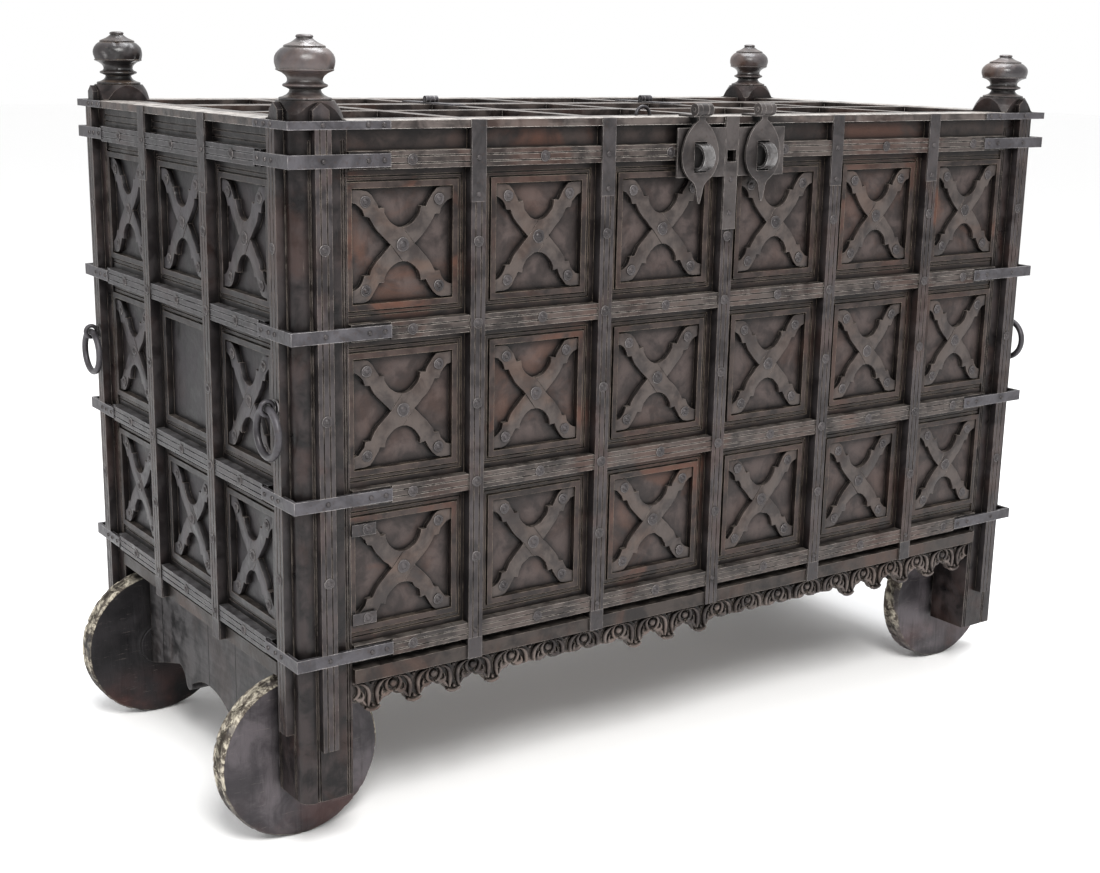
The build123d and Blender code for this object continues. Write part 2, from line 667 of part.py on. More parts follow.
# ---- ring handles ----
EYE_R = 11.0
EYE_BAR = 4.0
EYE_BORE = EYE_R - EYE_BAR + 0.4
EYE_OUT = 15.0                 # eye centre outside the strap face
rings = {}
eyes = []
for place, (x, y, turn) in POST_SPOTS.items():
    sx = 1 if x > 0 else -1
    strip_y = (FRONT_Y + EDGE_STRIP) if y < MID_Y else (BACK_Y - EDGE_STRIP)
    eye_x = sx * (HALF_W + EYE_OUT)
    loop = Pos(eye_x, strip_y, RING_Z) * Rot(90, 0, 0) * Torus(EYE_R, EYE_BAR)
    loop -= cylinder_y(EYE_BORE, eye_x, RING_Z, strip_y - 5, strip_y + 5)
    stem = cylinder_x(4.5, strip_y, RING_Z, sx * (HALF_W - 1), sx * (HALF_W + 4.4))
    stem &= block(sx * HALF_W, sx * (HALF_W + 6), strip_y - 9, strip_y + 9, RING_Z - 9, RING_Z + 9)
    back = cylinder_x(13, strip_y, RING_Z, sx * HALF_W, sx * (HALF_W + 2))
    eyes.append(loop + stem + back)
    hang = RING_Z - (EYE_R - EYE_BAR) + RING_BAR + 0.6
    ring = Pos(eye_x, strip_y, hang - RING_R) * Rot(0, 90, 0) * Torus(RING_R, RING_BAR)
    keep("ring_" + place, ring)
keep("ring_eyes", eyes)

# ---- hasps, staples and lock ----
HASP_PLATE_W = 110.0
HASP_PLATE_Z = (RIM_Z - 106, RIM_Z - 19)
SLOT_W = 28.0
SLOT_H = 54.0
KNUCKLE_Y = -14.0              # hasp pin, in front of the strap face
KNUCKLE_Z = RIM_Z + 13.0
KNUCKLE_R = 11.0
KNUCKLE_MID = 7.2              # half width of the hasp's own knuckle
KNUCKLE_IN = 7.6               # the bracket's knuckles stand between these
KNUCKLE_OUT = 18.0
PIN_R = 4.0
LEAF_Y = (-14.0, -10.0)

hasp_plates = []
staples = []
brackets = []
for sign in (-1, 1):
    x = sign * HASP_X
    near = LOCK_X + sign * (STRAP / 2 + 2)
    plate = block(near, near + sign * HASP_PLATE_W, -PLATE_OUT, 0, *HASP_PLATE_Z)
    hasp_plates.append(plate)
    arch = make_face(Wire([
        Line((-PLATE_OUT, LATCH_Z - 24), (-18, LATCH_Z - 24)),
        ThreePointArc((-18, LATCH_Z - 24), (-STAPLE_PROUD, LATCH_Z), (-18, LATCH_Z + 24)),
        Line((-18, LATCH_Z + 24), (-PLATE_OUT, LATCH_Z + 24)),
        Line((-PLATE_OUT, LATCH_Z + 24), (-PLATE_OUT, LATCH_Z + 19)),
        Line((-PLATE_OUT, LATCH_Z + 19), (-18, LATCH_Z + 19)),
        ThreePointArc((-18, LATCH_Z + 19), (5 - STAPLE_PROUD, LATCH_Z), (-18, LATCH_Z - 19)),
        Line((-18, LATCH_Z - 19), (-PLATE_OUT, LATCH_Z - 19)),
        Line((-PLATE_OUT, LATCH_Z - 19), (-PLATE_OUT, LATCH_Z - 24)),
    ]))
    staples.append(Pos(x, 0, 0) * extrude(Plane.YZ * arch, 12.0, both=True))
    bracket = block(x - KNUCKLE_OUT, x + KNUCKLE_OUT, 0, 30, RIM_Z, RIM_Z + 4)
    for a, b in ((-KNUCKLE_OUT, -KNUCKLE_IN), (KNUCKLE_IN, KNUCKLE_OUT)):
        bracket += block(x + a, x + b, KNUCKLE_Y, 0, RIM_Z, RIM_Z + 4)
        bracket += cylinder_x(KNUCKLE_R, KNUCKLE_Y, KNUCKLE_Z, x + a, x + b)
    brackets.append(bracket + cylinder_x(PIN_R, KNUCKLE_Y, KNUCKLE_Z, x - 19, x + 19))
keep("hasp_plates", put("front", hasp_plates))
keep("hasp_staples", put("front", staples))
keep("hasp_brackets", put("front", brackets))


def hasp_leaf():
    """Leaf-shaped hasp with a slot and a pointed tail, hung from one knuckle."""
    top = RIM_Z - 6
    tail = RIM_Z - 152

    def half(sx):
        return [
            Line((0, top), (sx * 7, top)),
            ThreePointArc((sx * 7, top), (sx * 30, top - 23), (sx * 42, LATCH_Z + 2)),
            ThreePointArc((sx * 42, LATCH_Z + 2), (sx * 37, LATCH_Z - 20), (sx * 22, LATCH_Z - 39)),
            ThreePointArc((sx * 22, LATCH_Z - 39), (sx * 11, LATCH_Z - 49), (sx * 7, LATCH_Z - 62)),
            Line((sx * 7, LATCH_Z - 62), (sx * 1.5, tail)),
            Line((sx * 1.5, tail), (0, tail)),
            Line((0, tail), (0, top)),
        ]
    outline = make_face(Wire(half(1))) + make_face(Wire(half(-1)))
    outline -= Pos(0, LATCH_Z) * Rectangle(SLOT_W, SLOT_H)
    leaf = Pos(0, LEAF_Y[1], 0) * extrude(Plane.XZ * outline, LEAF_Y[1] - LEAF_Y[0])
    leaf += block(-7, 7, *LEAF_Y, top - 4, KNUCKLE_Z - KNUCKLE_R + 3)
    leaf += cylinder_x(KNUCKLE_R, KNUCKLE_Y, KNUCKLE_Z, -KNUCKLE_MID, KNUCKLE_MID)
    leaf -= cylinder_x(PIN_R + 0.08, KNUCKLE_Y, KNUCKLE_Z, -10, 10)
    return leaf


for name, sign in (("left_hasp", -1), ("right_hasp", 1)):
    keep(name, put("front", [Pos(sign * HASP_X, 0, 0) * hasp_leaf()]))

lock_face = block(LOCK_X - STRAP / 2 - 1, LOCK_X + STRAP / 2 + 1, -PLATE_OUT, 0, KEY_PLATE_Z, RIM_Z)
lock_face += block(LOCK_X - STRAP / 2, LOCK_X + STRAP / 2, 0, TIE_T, KEY_PLATE_Z, RIM_Z)
lock_face -= keyway(-10, 10)
keep("keyhole_plate", put("front", [lock_face]))

LOCK_HALF = 55.0
CASE_WALL = 3.0
BOLT_HALF = 15.0
BOLT_DEEP = (INNER + 10, INNER + 20)
BOLT_TRAVEL = 15.0
case_top = RIM_Z - 2 * TOP_T - 1
case_low = case_top - 90
case_x = (LOCK_X - LOCK_HALF, LOCK_X + LOCK_HALF)
lock_case = block(*case_x, INNER, INNER + 30, case_low, case_top)
lock_case -= block(
    case_x[0] + CASE_WALL, case_x[1] - CASE_WALL, INNER + CASE_WALL, INNER + 30 - CASE_WALL,
    case_low + CASE_WALL, case_top - CASE_WALL,
)
lock_case -= keyway(INNER - 1, INNER + CASE_WALL + 1)


def bolt_way(z0, z1):
    """The bolt's passage, with a little room all round."""
    room = 0.3
    wide = BOLT_HALF + room
    return block(LOCK_X - wide, LOCK_X + wide, BOLT_DEEP[0] - room, BOLT_DEEP[1] + room, z0, z1)


lock_case -= bolt_way(case_top - CASE_WALL - 1, case_top + 1)
keep("lock_case", put("front", [lock_case]))
keep("lock_bolt", put("front", [
    block(LOCK_X - BOLT_HALF, LOCK_X + BOLT_HALF, *BOLT_DEEP, case_top - 60, case_top - 0.5)
]))

# ---- top: fixed rear third and the lid ----
LID_FRONT = INNER + GAP
LID_HALF_W = HALF_W - INNER - GAP
TOP_BACK = CASE_D - INNER
cross_lines = list(FRONT_LINES)


def lattice(half_w, y0, y1, lines_x, lines_y):
    """Strips on top of the boards: an outer frame with lines both ways, in one halved grid."""
    z0, z1 = RIM_Z - TOP_T, RIM_Z
    grid = []
    for y in (y0 + STRAP / 2, y1 - STRAP / 2) + tuple(lines_y):
        grid.append(block(-half_w, half_w, y - STRAP / 2, y + STRAP / 2, z0, z1))
    strips_y = [y0, y0 + STRAP, *[e for y in lines_y for e in (y - STRAP / 2, y + STRAP / 2)]]
    strips_y += [y1 - STRAP, y1]
    spans = list(zip(strips_y[1::2], strips_y[2::2]))
    for x in [-half_w + STRAP / 2, half_w - STRAP / 2] + lines_x:
        for a, b in spans:
            grid.append(block(x - STRAP / 2, x + STRAP / 2, a, b, z0, z1))
    return grid


def clear_of_posts(shape):
    """Cut the corner posts, with a little room, out of a shape in the row frame."""
    for x, y, turn in POST_SPOTS.values():
        shape -= Pos(x, y, RIM_Z) * Box(POST + 2 * GAP, POST + 2 * GAP, 300)
    return shape


lid_lattice = put("front", lattice(
    LID_HALF_W, LID_FRONT, LID_LINE - GAP / 2, cross_lines, [EDGE_STRIP + END_PITCH]
))
lid_board = put("front", [block(
    -LID_HALF_W, LID_HALF_W, LID_FRONT, LID_LINE - GAP / 2, RIM_Z - 2 * TOP_T, RIM_Z - TOP_T
) - bolt_way(RIM_Z - 2 * TOP_T - 1, case_top + BOLT_TRAVEL + 3)])
keep("lid_lattice", [clear_of_posts(shape) for shape in lid_lattice])
keep("lid_boards", [clear_of_posts(shape) for shape in lid_board])

rear_lattice = put("front", lattice(
    HALF_W - INNER, LID_LINE + GAP / 2, TOP_BACK, cross_lines, []
))
rear_board = put("front", [block(
    -HALF_W + INNER, HALF_W - INNER, LID_LINE + GAP / 2, TOP_BACK, RIM_Z - 2 * TOP_T, RIM_Z - TOP_T
)])
keep("rear_top_lattice", [clear_of_posts(shape) for shape in rear_lattice])
keep("rear_top_boards", [clear_of_posts(shape) for shape in rear_board])

ledge_z = RIM_Z - 2 * TOP_T
ledges = put("front", [
    block(-SPAN_W / 2, case_x[0] - 2, INNER, INNER + 22, ledge_z - 30, ledge_z - 0.4),
    block(case_x[1] + 2, SPAN_W / 2, INNER, INNER + 22, ledge_z - 30, ledge_z - 0.4),
])
ledges += put("left", [block(-SPAN_D / 2, SPAN_D / 2, INNER, INNER + 22, ledge_z - 30, ledge_z - 0.4)])
ledges += put("right", [block(-SPAN_D / 2, SPAN_D / 2, INNER, INNER + 22, ledge_z - 30, ledge_z - 0.4)])
ledges += put("front", [block(
    -HALF_W + INNER + 24, HALF_W - INNER - 24, LID_LINE - 20, LID_LINE + 30, ledge_z - 50, ledge_z - 0.4
)])
keep("top_ledges", ledges)

# Lid hinges: knuckles standing on the line between the lid and the fixed rear boards.
HINGE_X = (FRONT_LINES[1], FRONT_LINES[3])
HINGE_R = 8.0
HINGE_Z = RIM_Z + 7.0
fixed_leaves = []
lid_leaves = []
for x in HINGE_X:
    strap_t = 3.0
    rear_leaf = block(x - 14, x + 14, LID_LINE + HINGE_R + 1, LID_LINE + 90, RIM_Z, RIM_Z + strap_t)
    rear_leaf += block(
        x - 5, x + 5, LID_LINE, LID_LINE + HINGE_R + 2, RIM_Z, RIM_Z + strap_t
    )
    rear_leaf += cylinder_x(HINGE_R, LID_LINE, HINGE_Z + 1, x - 5, x + 5)
    rear_leaf += cylinder_x(3.0, LID_LINE, HINGE_Z + 1, x - 15, x + 15)
    fixed_leaves.append(rear_leaf)
    lid_leaf = block(x - 14, x + 14, LID_LINE - 110, LID_LINE - HINGE_R - 1, RIM_Z, RIM_Z + strap_t)
    for sign in (-1, 1):
        lid_leaf += block(
            x + sign * 5.5, x + sign * 14, LID_LINE - HINGE_R - 2, LID_LINE, RIM_Z, RIM_Z + strap_t
        )
        lid_leaf += cylinder_x(HINGE_R, LID_LINE, HINGE_Z + 1, x + sign * 5.5, x + sign * 14)
        lid_leaf -= cylinder_x(3.08, LID_LINE, HINGE_Z + 1, x + sign * 5, x + sign * 16)
    lid_leaves.append(lid_leaf)
keep("hinge_fixed_leaves", put("front", fixed_leaves))
keep("hinge_lid_leaves", put("front", lid_leaves))

PULL_X = -141.0
pull = Pos(PULL_X, LID_FRONT + STRAP / 2, RIM_Z) * Rot(90, 0, 0) * Torus(15, 3.2)
pull &= block(PULL_X - 30, PULL_X + 30, LID_FRONT - 10, LID_FRONT + 60, RIM_Z, RIM_Z + 60)
keep("lid_pull", put("front", [pull]))

# ---- write one file for each node ----
os.makedirs("parts", exist_ok=True)
for name, solids in nodes.items():
    export_step(Compound(children=solids) if len(solids) > 1 else solids[0], f"parts/{name}.step")
print(len(nodes), "nodes")
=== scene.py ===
import math
import random

import bpy
from mathutils import Matrix, Vector, noise


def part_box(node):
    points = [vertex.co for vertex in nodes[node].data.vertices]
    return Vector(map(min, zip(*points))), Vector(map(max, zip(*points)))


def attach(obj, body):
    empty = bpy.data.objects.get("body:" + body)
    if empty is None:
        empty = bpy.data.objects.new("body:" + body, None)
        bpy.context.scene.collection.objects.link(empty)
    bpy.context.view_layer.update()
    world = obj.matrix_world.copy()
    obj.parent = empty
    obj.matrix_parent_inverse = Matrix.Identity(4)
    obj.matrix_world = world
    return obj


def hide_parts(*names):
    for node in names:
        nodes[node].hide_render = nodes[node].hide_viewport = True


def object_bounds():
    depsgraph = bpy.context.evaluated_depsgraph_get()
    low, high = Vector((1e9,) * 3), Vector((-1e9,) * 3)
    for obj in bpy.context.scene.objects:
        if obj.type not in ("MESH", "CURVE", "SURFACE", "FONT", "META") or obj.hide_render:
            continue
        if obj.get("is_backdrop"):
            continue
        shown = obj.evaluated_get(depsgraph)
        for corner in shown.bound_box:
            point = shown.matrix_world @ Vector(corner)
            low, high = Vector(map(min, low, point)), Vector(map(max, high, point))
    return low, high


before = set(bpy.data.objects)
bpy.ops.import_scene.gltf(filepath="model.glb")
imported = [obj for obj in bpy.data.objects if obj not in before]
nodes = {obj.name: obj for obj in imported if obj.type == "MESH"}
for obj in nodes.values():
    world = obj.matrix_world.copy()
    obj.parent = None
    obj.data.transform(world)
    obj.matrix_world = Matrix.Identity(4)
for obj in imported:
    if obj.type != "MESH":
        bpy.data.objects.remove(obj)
CAD_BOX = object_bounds()

# ---- places read from the frame, in metres ----
CASE_LO, CASE_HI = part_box("corner_plates")
CASE_MIDDLE = (CASE_LO + CASE_HI) / 2
CASE_W = CASE_HI.x - CASE_LO.x
RIM_CORNER = Vector((CASE_LO.x, CASE_LO.y, CASE_HI.z))
CORNERS = ("front_left", "front_right", "rear_left", "rear_right")
MM = 0.001


# ---- camera, light and floor ----
def make_camera():
    """The camera stands off the front left corner, a little above the rim."""
    place = RIM_CORNER + CASE_W * Vector((-0.6251, -1.2922, 0.0689))
    yaw, pitch, roll = math.radians(35.08), math.radians(13.59), math.radians(1.10)
    ahead = Vector((math.sin(yaw) * math.cos(pitch), math.cos(yaw) * math.cos(pitch), -math.sin(pitch)))
    level = Vector((math.cos(yaw), -math.sin(yaw), 0))
    above = level.cross(ahead)
    right = level * math.cos(roll) + above * math.sin(roll)
    up = right.cross(ahead)
    data = bpy.data.cameras.new("camera")
    data.lens = 53.11
    data.sensor_width = 36.0
    data.clip_end = 60.0
    data.dof.use_dof = False
    camera = bpy.data.objects.new("camera", data)
    turn = Matrix((right, up, -ahead)).transposed()
    camera.matrix_world = Matrix.Translation(place) @ turn.to_4x4()
    bpy.context.collection.objects.link(camera)
    bpy.context.scene.camera = camera


def area_light(name, place, target, size, power, colour):
    """A rectangular light at a place, turned towards its target."""
    data = bpy.data.lights.new(name, "AREA")
    data.shape = "RECTANGLE"
    data.size, data.size_y = size
    data.energy = power
    data.color = colour
    light = bpy.data.objects.new(name, data)
    light.location = place
    light.rotation_euler = (Vector(target) - Vector(place)).to_track_quat("-Z", "Y").to_euler()
    bpy.context.collection.objects.link(light)


def make_light():
    """White surroundings, a key light from the front left and a softer one from above."""
    world = bpy.data.worlds.new("studio")
    world.use_nodes = True
    sky = world.node_tree.nodes["Background"]
    sky.inputs["Color"].default_value = (1.0, 1.0, 1.0, 1.0)
    sky.inputs["Strength"].default_value = 1.0
    bpy.context.scene.world = world
    scene = bpy.context.scene
    scene.view_settings.view_transform = "Standard"
    scene.view_settings.look = "None"
    area_light("key_light", (-1.9, -3.9, 4.4), (0, 0, 0.7), (2.0, 2.0), 320, (1.0, 0.99, 0.97))
    area_light("top_light", (0.8, 0.6, 4.6), (0, 0, 1.0), (2.6, 1.8), 190, (0.97, 0.98, 1.0))


def make_floor():
    """A wide pale floor."""
    data = bpy.data.meshes.new("floor")
    half = 30.0
    data.from_pydata(
        [(-half, -half, 0), (half, -half, 0), (half, half, 0), (-half, half, 0)], [], [(0, 1, 2, 3)]
    )
    floor = bpy.data.objects.new("floor", data)
    bpy.context.collection.objects.link(floor)
    material = bpy.data.materials.new("pale_floor")
    material.use_nodes = True
    shader = material.node_tree.nodes["Principled BSDF"]
    shader.inputs["Base Color"].default_value = (0.98, 0.98, 0.98, 1)
    shader.inputs["Roughness"].default_value = 0.9
    shader.inputs["Specular IOR Level"].default_value = 0.1
    data.materials.append(material)
    floor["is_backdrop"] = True


# ---- material graphs ----
def linear(r, g, b):
    """An 8-bit display colour as linear numbers with alpha."""
    def one(v):
        v /= 255.0
        return v / 12.92 if v <= 0.04045 else ((v + 0.055) / 1.055) ** 2.4
    return (one(r), one(g), one(b), 1.0)


class Graph:
    """Short names for building one material's nodes."""

    def __init__(self, name):
        self.material = bpy.data.materials.new(name)
        self.material.use_nodes = True
        self.tree = self.material.node_tree
        self.shader = self.tree.nodes["Principled BSDF"]
        self.place = self.tree.nodes.new("ShaderNodeTexCoord").outputs["Object"]

    def node(self, kind, inputs=(), **settings):
        made = self.tree.nodes.new(kind)
        for key, value in settings.items():
            setattr(made, key, value)
        for key, value in dict(inputs).items():
            self.feed(made.inputs[key], value)
        return made

    def feed(self, socket, value):
        if isinstance(value, bpy.types.NodeSocket):
            self.tree.links.new(value, socket)
        else:
            socket.default_value = value

    def math(self, operation, a, b=0.0, clamp=False):
        return self.node("ShaderNodeMath", {0: a, 1: b}, operation=operation, use_clamp=clamp).outputs[0]

    def plus(self, a, b):
        return self.math("ADD", a, b)

    def times(self, a, b):
        return self.math("MULTIPLY", a, b)

    def stretched(self, scale):
        return self.node("ShaderNodeMapping", {"Vector": self.place, "Scale": scale}).outputs[0]

    def noise(self, vector, scale, detail=4.0, rough=0.55, distortion=0.0):
        return self.node("ShaderNodeTexNoise", {
            "Vector": vector, "Scale": scale, "Detail": detail, "Roughness": rough,
            "Distortion": distortion,
        }).outputs["Fac"]

    def window(self, value, low, high, to_low=0.0, to_high=1.0):
        """Value between low and high goes smoothly from to_low to to_high."""
        return self.node("ShaderNodeMapRange", {
            "Value": value, "From Min": low, "From Max": high, "To Min": to_low, "To Max": to_high,
        }, interpolation_type="SMOOTHSTEP").outputs[0]

    def mix(self, share, a, b):
        """Colour a, going over to colour b as the share grows from 0 to 1."""
        return self.node("ShaderNodeMix", {0: share, 6: a, 7: b}, data_type="RGBA").outputs[2]

    def darken(self, colour, open_share, shade_colour):
        """Paint shade where the open share is low: a painted shade in corners and hollows."""
        return self.mix(self.math("SUBTRACT", 1.0, open_share), colour, shade_colour)

    def edge(self, radius):
        """How far the rounded normal leaves the real one: near 0 on flats, more on edges."""
        rounded = self.node("ShaderNodeBevel", {"Radius": radius}, samples=4).outputs[0]
        normal = self.node("ShaderNodeNewGeometry").outputs["Normal"]
        dot = self.node("ShaderNodeVectorMath", {0: rounded, 1: normal}, operation="DOT_PRODUCT")
        return self.math("SUBTRACT", 1.0, dot.outputs["Value"])

    def hollow(self, distance):
        """1 in the open and lower in corners and grooves."""
        return self.node(
            "ShaderNodeAmbientOcclusion", {"Distance": distance}, samples=4
        ).outputs["AO"]

    def bump(self, height, distance, strength, before=None):
        inputs = {"Height": height, "Distance": distance, "Strength": strength}
        if before is not None:
            inputs["Normal"] = before
        return self.node("ShaderNodeBump", inputs).outputs["Normal"]


GRAIN = {"x": (1, 12, 12), "y": (12, 1, 12), "z": (12, 12, 1)}
WARM = (82, 54, 43)
WORN = (140, 130, 122)
PANEL_CELLS = {"scale": (3.72, 3.73, 3.69), "shift": (0.03, 0.51, 0.62)}
JOINT_HALF = 0.0012                      # half the width of a gap between boards
BEAM_JOINTS = (0.018, 0.245, -0.105)     # gaps between the boards of an end beam, along y


def cell_tint(g):
    """One chance value from 0 to 1 for each panel of a side."""
    cells = g.stretched(PANEL_CELLS["scale"])
    cells = g.node("ShaderNodeVectorMath", {0: cells, 1: PANEL_CELLS["shift"]}, operation="ADD").outputs[0]
    cells = g.node("ShaderNodeVectorMath", {0: cells}, operation="FLOOR").outputs[0]
    return g.node("ShaderNodeTexWhiteNoise", {"Vector": cells}, noise_dimensions="3D").outputs["Value"]


def wood(name, grain, dark, light, warm=WARM, worn=WORN, wear=1.0, warmth=0.3, polish=0.38, cells=False,
         streak=0.2, joints=(), shine=0.21, painted_top_light=0.18):
    """Old dark wood: grain streaks, warm patches, painted shade in corners and grooves, and rubbed pale
    edges.

    Colours are 8-bit.  Wear and warmth say how much shows of the worn and warm colours; the top share says
    how much paler faces that look up are painted, as painted top light;
    cells gives each panel its own warmth; joints are the places along y of gaps between boards.
    """
    g = Graph(name)
    along = g.stretched(GRAIN[grain])
    fibre = g.noise(along, 6.0, 8.0, 0.62, 0.12)
    fine = g.noise(along, 40.0, 5.0, 0.7)
    blotch = g.noise(g.place, 6.5, 6.0, 0.62, 0.8)
    mottle = g.noise(g.place, 24.0, 5.0, 0.6, 0.4)
    grain_share = 0.5 * streak
    base = g.plus(g.times(fibre, grain_share), g.times(mottle, 1.0 - grain_share))
    colour = g.mix(g.window(base, 0.38, 0.62), linear(*dark), linear(*light))
    colour = g.mix(g.window(fine, 0.50, 0.75, 0.0, 0.35 * streak), colour, linear(*dark))

    patches = g.window(blotch, 0.47, 0.66, 0.0, warmth)
    if cells:
        patches = g.math("MULTIPLY", patches, g.window(cell_tint(g), 0.1, 0.9, 0.3, 1.4), clamp=True)
    colour = g.mix(patches, colour, linear(*warm))

    # Painted shade: the colour goes nearly black where corners and grooves shut out the light.
    corners = g.window(g.hollow(0.030), 0.46, 1.0)
    grooves = g.window(g.hollow(0.006), 0.50, 1.0, 0.10, 1.0)
    colour = g.darken(colour, g.times(corners, grooves), linear(11, 9, 9))

    # Pale rubbed edges are wear; where the rails push wear and the worn colour up, they are also a painted
    # highlight.
    worn_at = g.window(g.noise(g.place, 34.0, 5.0, 0.7), 0.36, 0.62, 0.1, 1.0)
    rub = g.times(g.window(g.edge(0.0015), 0.02, 0.30), worn_at)
    rub = g.math("MULTIPLY", rub, wear, clamp=True)
    colour = g.mix(rub, colour, linear(*worn))
    scuff = g.window(g.noise(along, 24.0, 6.0, 0.75, 0.3), 0.61, 0.74, 0.0, 0.34 * streak)
    colour = g.mix(scuff, colour, linear(*worn))
    # Faces that look up are painted paler with the worn colour: a painted top light.
    normal = g.node("ShaderNodeNewGeometry").outputs["Normal"]
    upward = g.node("ShaderNodeSeparateXYZ", {0: normal}).outputs["Z"]
    top_lit_share = g.times(g.window(upward, 0.75, 0.98, 0.0, painted_top_light), worn_at)
    colour = g.mix(top_lit_share, colour, linear(*worn))

    for y in joints:
        along_y = g.node("ShaderNodeSeparateXYZ", {0: g.place}).outputs["Y"]
        line = g.plus(y, g.times(fine, 0.004))
        gap = g.math("ABSOLUTE", g.math("SUBTRACT", along_y, line))
        colour = g.mix(g.window(gap, JOINT_HALF, 2 * JOINT_HALF, 1.0, 0.0), colour, linear(20, 18, 18))

    g.feed(g.shader.inputs["Base Color"], colour)
    rough = g.plus(g.window(mottle, 0.3, 0.7, polish - 0.08, polish + 0.14), g.times(rub, 0.10))
    g.feed(g.shader.inputs["Roughness"], rough)
    g.shader.inputs["Specular IOR Level"].default_value = shine
    heights = g.plus(g.times(fibre, 0.8), g.times(fine, 0.35))
    normal = g.bump(heights, 0.0012 * streak + 0.0002, 0.8)
    normal = g.bump(g.noise(g.place, 30.0, 4.0, 0.5), 0.0030, 0.7, normal)
    g.feed(g.shader.inputs["Normal"], normal)
    return g.material


def iron(name, dark, light, worn, metallic=0.35, polish=0.42):
    """Hand-forged iron: hammered, mottled, rusty in specks, with rubbed edges and painted shade in corners
    and behind parts.
    """
    g = Graph(name)
    blotch = g.noise(g.place, 16.0, 6.0, 0.65, 0.7)
    fine = g.noise(g.place, 170.0, 4.0, 0.6)
    colour = g.mix(g.window(blotch, 0.32, 0.68), linear(*dark), linear(*light))
    colour = g.mix(g.window(fine, 0.52, 0.72, 0.0, 0.45), colour, linear(52, 40, 35))
    # Painted shade: darker in corners and where parts in front shut out the light.
    corners = g.window(g.hollow(0.014), 0.3, 0.98)
    behind = g.window(g.hollow(0.04), 0.25, 0.75, 0.05, 1.0)
    colour = g.darken(colour, g.times(corners, behind), linear(13, 11, 11))
    worn_at = g.window(g.noise(g.place, 60.0, 4.0, 0.6), 0.35, 0.65, 0.2, 1.0)
    rub = g.times(g.window(g.edge(0.0022), 0.02, 0.28), worn_at)
    colour = g.mix(rub, colour, linear(*worn))
    g.feed(g.shader.inputs["Base Color"], colour)
    g.shader.inputs["Metallic"].default_value = metallic
    g.shader.inputs["Specular IOR Level"].default_value = 0.35
    g.feed(g.shader.inputs["Roughness"], g.window(blotch, 0.3, 0.7, polish - 0.07, polish + 0.18))
    normal = g.bump(g.noise(g.place, 60.0, 3.0, 0.5), 0.0022, 0.7)
    normal = g.bump(fine, 0.0006, 0.6, normal)
    g.feed(g.shader.inputs["Normal"], normal)
    return g.material


def wheel_wood(name, centre, radius, dark, light):
    """Dark disc with a chipped pale tread, scratches, a red-brown foot and painted shade in hollows."""
    g = Graph(name)
    parts = g.node("ShaderNodeSeparateXYZ", {0: g.place})
    dx = g.math("SUBTRACT", parts.outputs["X"], centre.x)
    dz = g.math("SUBTRACT", parts.outputs["Z"], centre.z)
    from_hub = g.math("SQRT", g.plus(g.times(dx, dx), g.times(dz, dz)))
    fibre = g.noise(g.stretched((16, 16, 1.6)), 5.0, 8.0, 0.65, 0.7)
    mottle = g.noise(g.place, 13.0, 6.0, 0.62, 0.6)
    chips = g.noise(g.place, 46.0, 6.0, 0.72, 0.5)
    broad = g.noise(g.place, 17.0, 3.0, 0.5)
    colour = g.mix(g.window(mottle, 0.34, 0.66), linear(*dark), linear(*light))
    colour = g.mix(g.window(fibre, 0.50, 0.70, 0.0, 0.5), colour, linear(32, 29, 31))

    low = g.window(dz, -0.13, -0.03, 1.0, 0.0)
    red = g.times(low, g.window(g.noise(g.place, 8.0, 4.0, 0.6), 0.38, 0.66, 0.0, 0.5))
    colour = g.mix(red, colour, linear(84, 52, 46))
    scratch = g.noise(g.stretched((1.5, 30, 30)), 9.0, 4.0, 0.7, 2.0)
    colour = g.mix(g.window(scratch, 0.63, 0.70, 0.0, 0.5), colour, linear(120, 112, 106))
    # Painted shade in the hollows and next to the boss.
    colour = g.darken(colour, g.window(g.hollow(0.03), 0.25, 0.95), linear(17, 15, 15))

    edge = g.plus(from_hub, g.times(g.math("SUBTRACT", chips, 0.5), 0.0030))
    pale = g.window(edge, radius - 0.0046, radius - 0.0036)
    pale = g.times(pale, g.window(broad, 0.36, 0.50, 0.15, 1.0))
    pale = g.times(pale, g.window(dz, -0.085, -0.01, 0.15, 1.0))
    cream = g.mix(g.window(chips, 0.43, 0.60), linear(70, 63, 56), linear(190, 182, 165))
    cream = g.mix(g.window(fibre, 0.52, 0.70, 0.0, 0.6), cream, linear(74, 64, 56))
    colour = g.mix(pale, colour, cream)

    g.feed(g.shader.inputs["Base Color"], colour)
    rough = g.plus(g.window(mottle, 0.3, 0.7, 0.42, 0.60), g.times(pale, 0.25))
    g.feed(g.shader.inputs["Roughness"], rough)
    g.shader.inputs["Specular IOR Level"].default_value = 0.25
    normal = g.bump(fibre, 0.0014, 0.8)
    normal = g.bump(g.times(chips, g.plus(pale, 0.15)), 0.004, 0.9, normal)
    g.feed(g.shader.inputs["Normal"], normal)
    return g.material


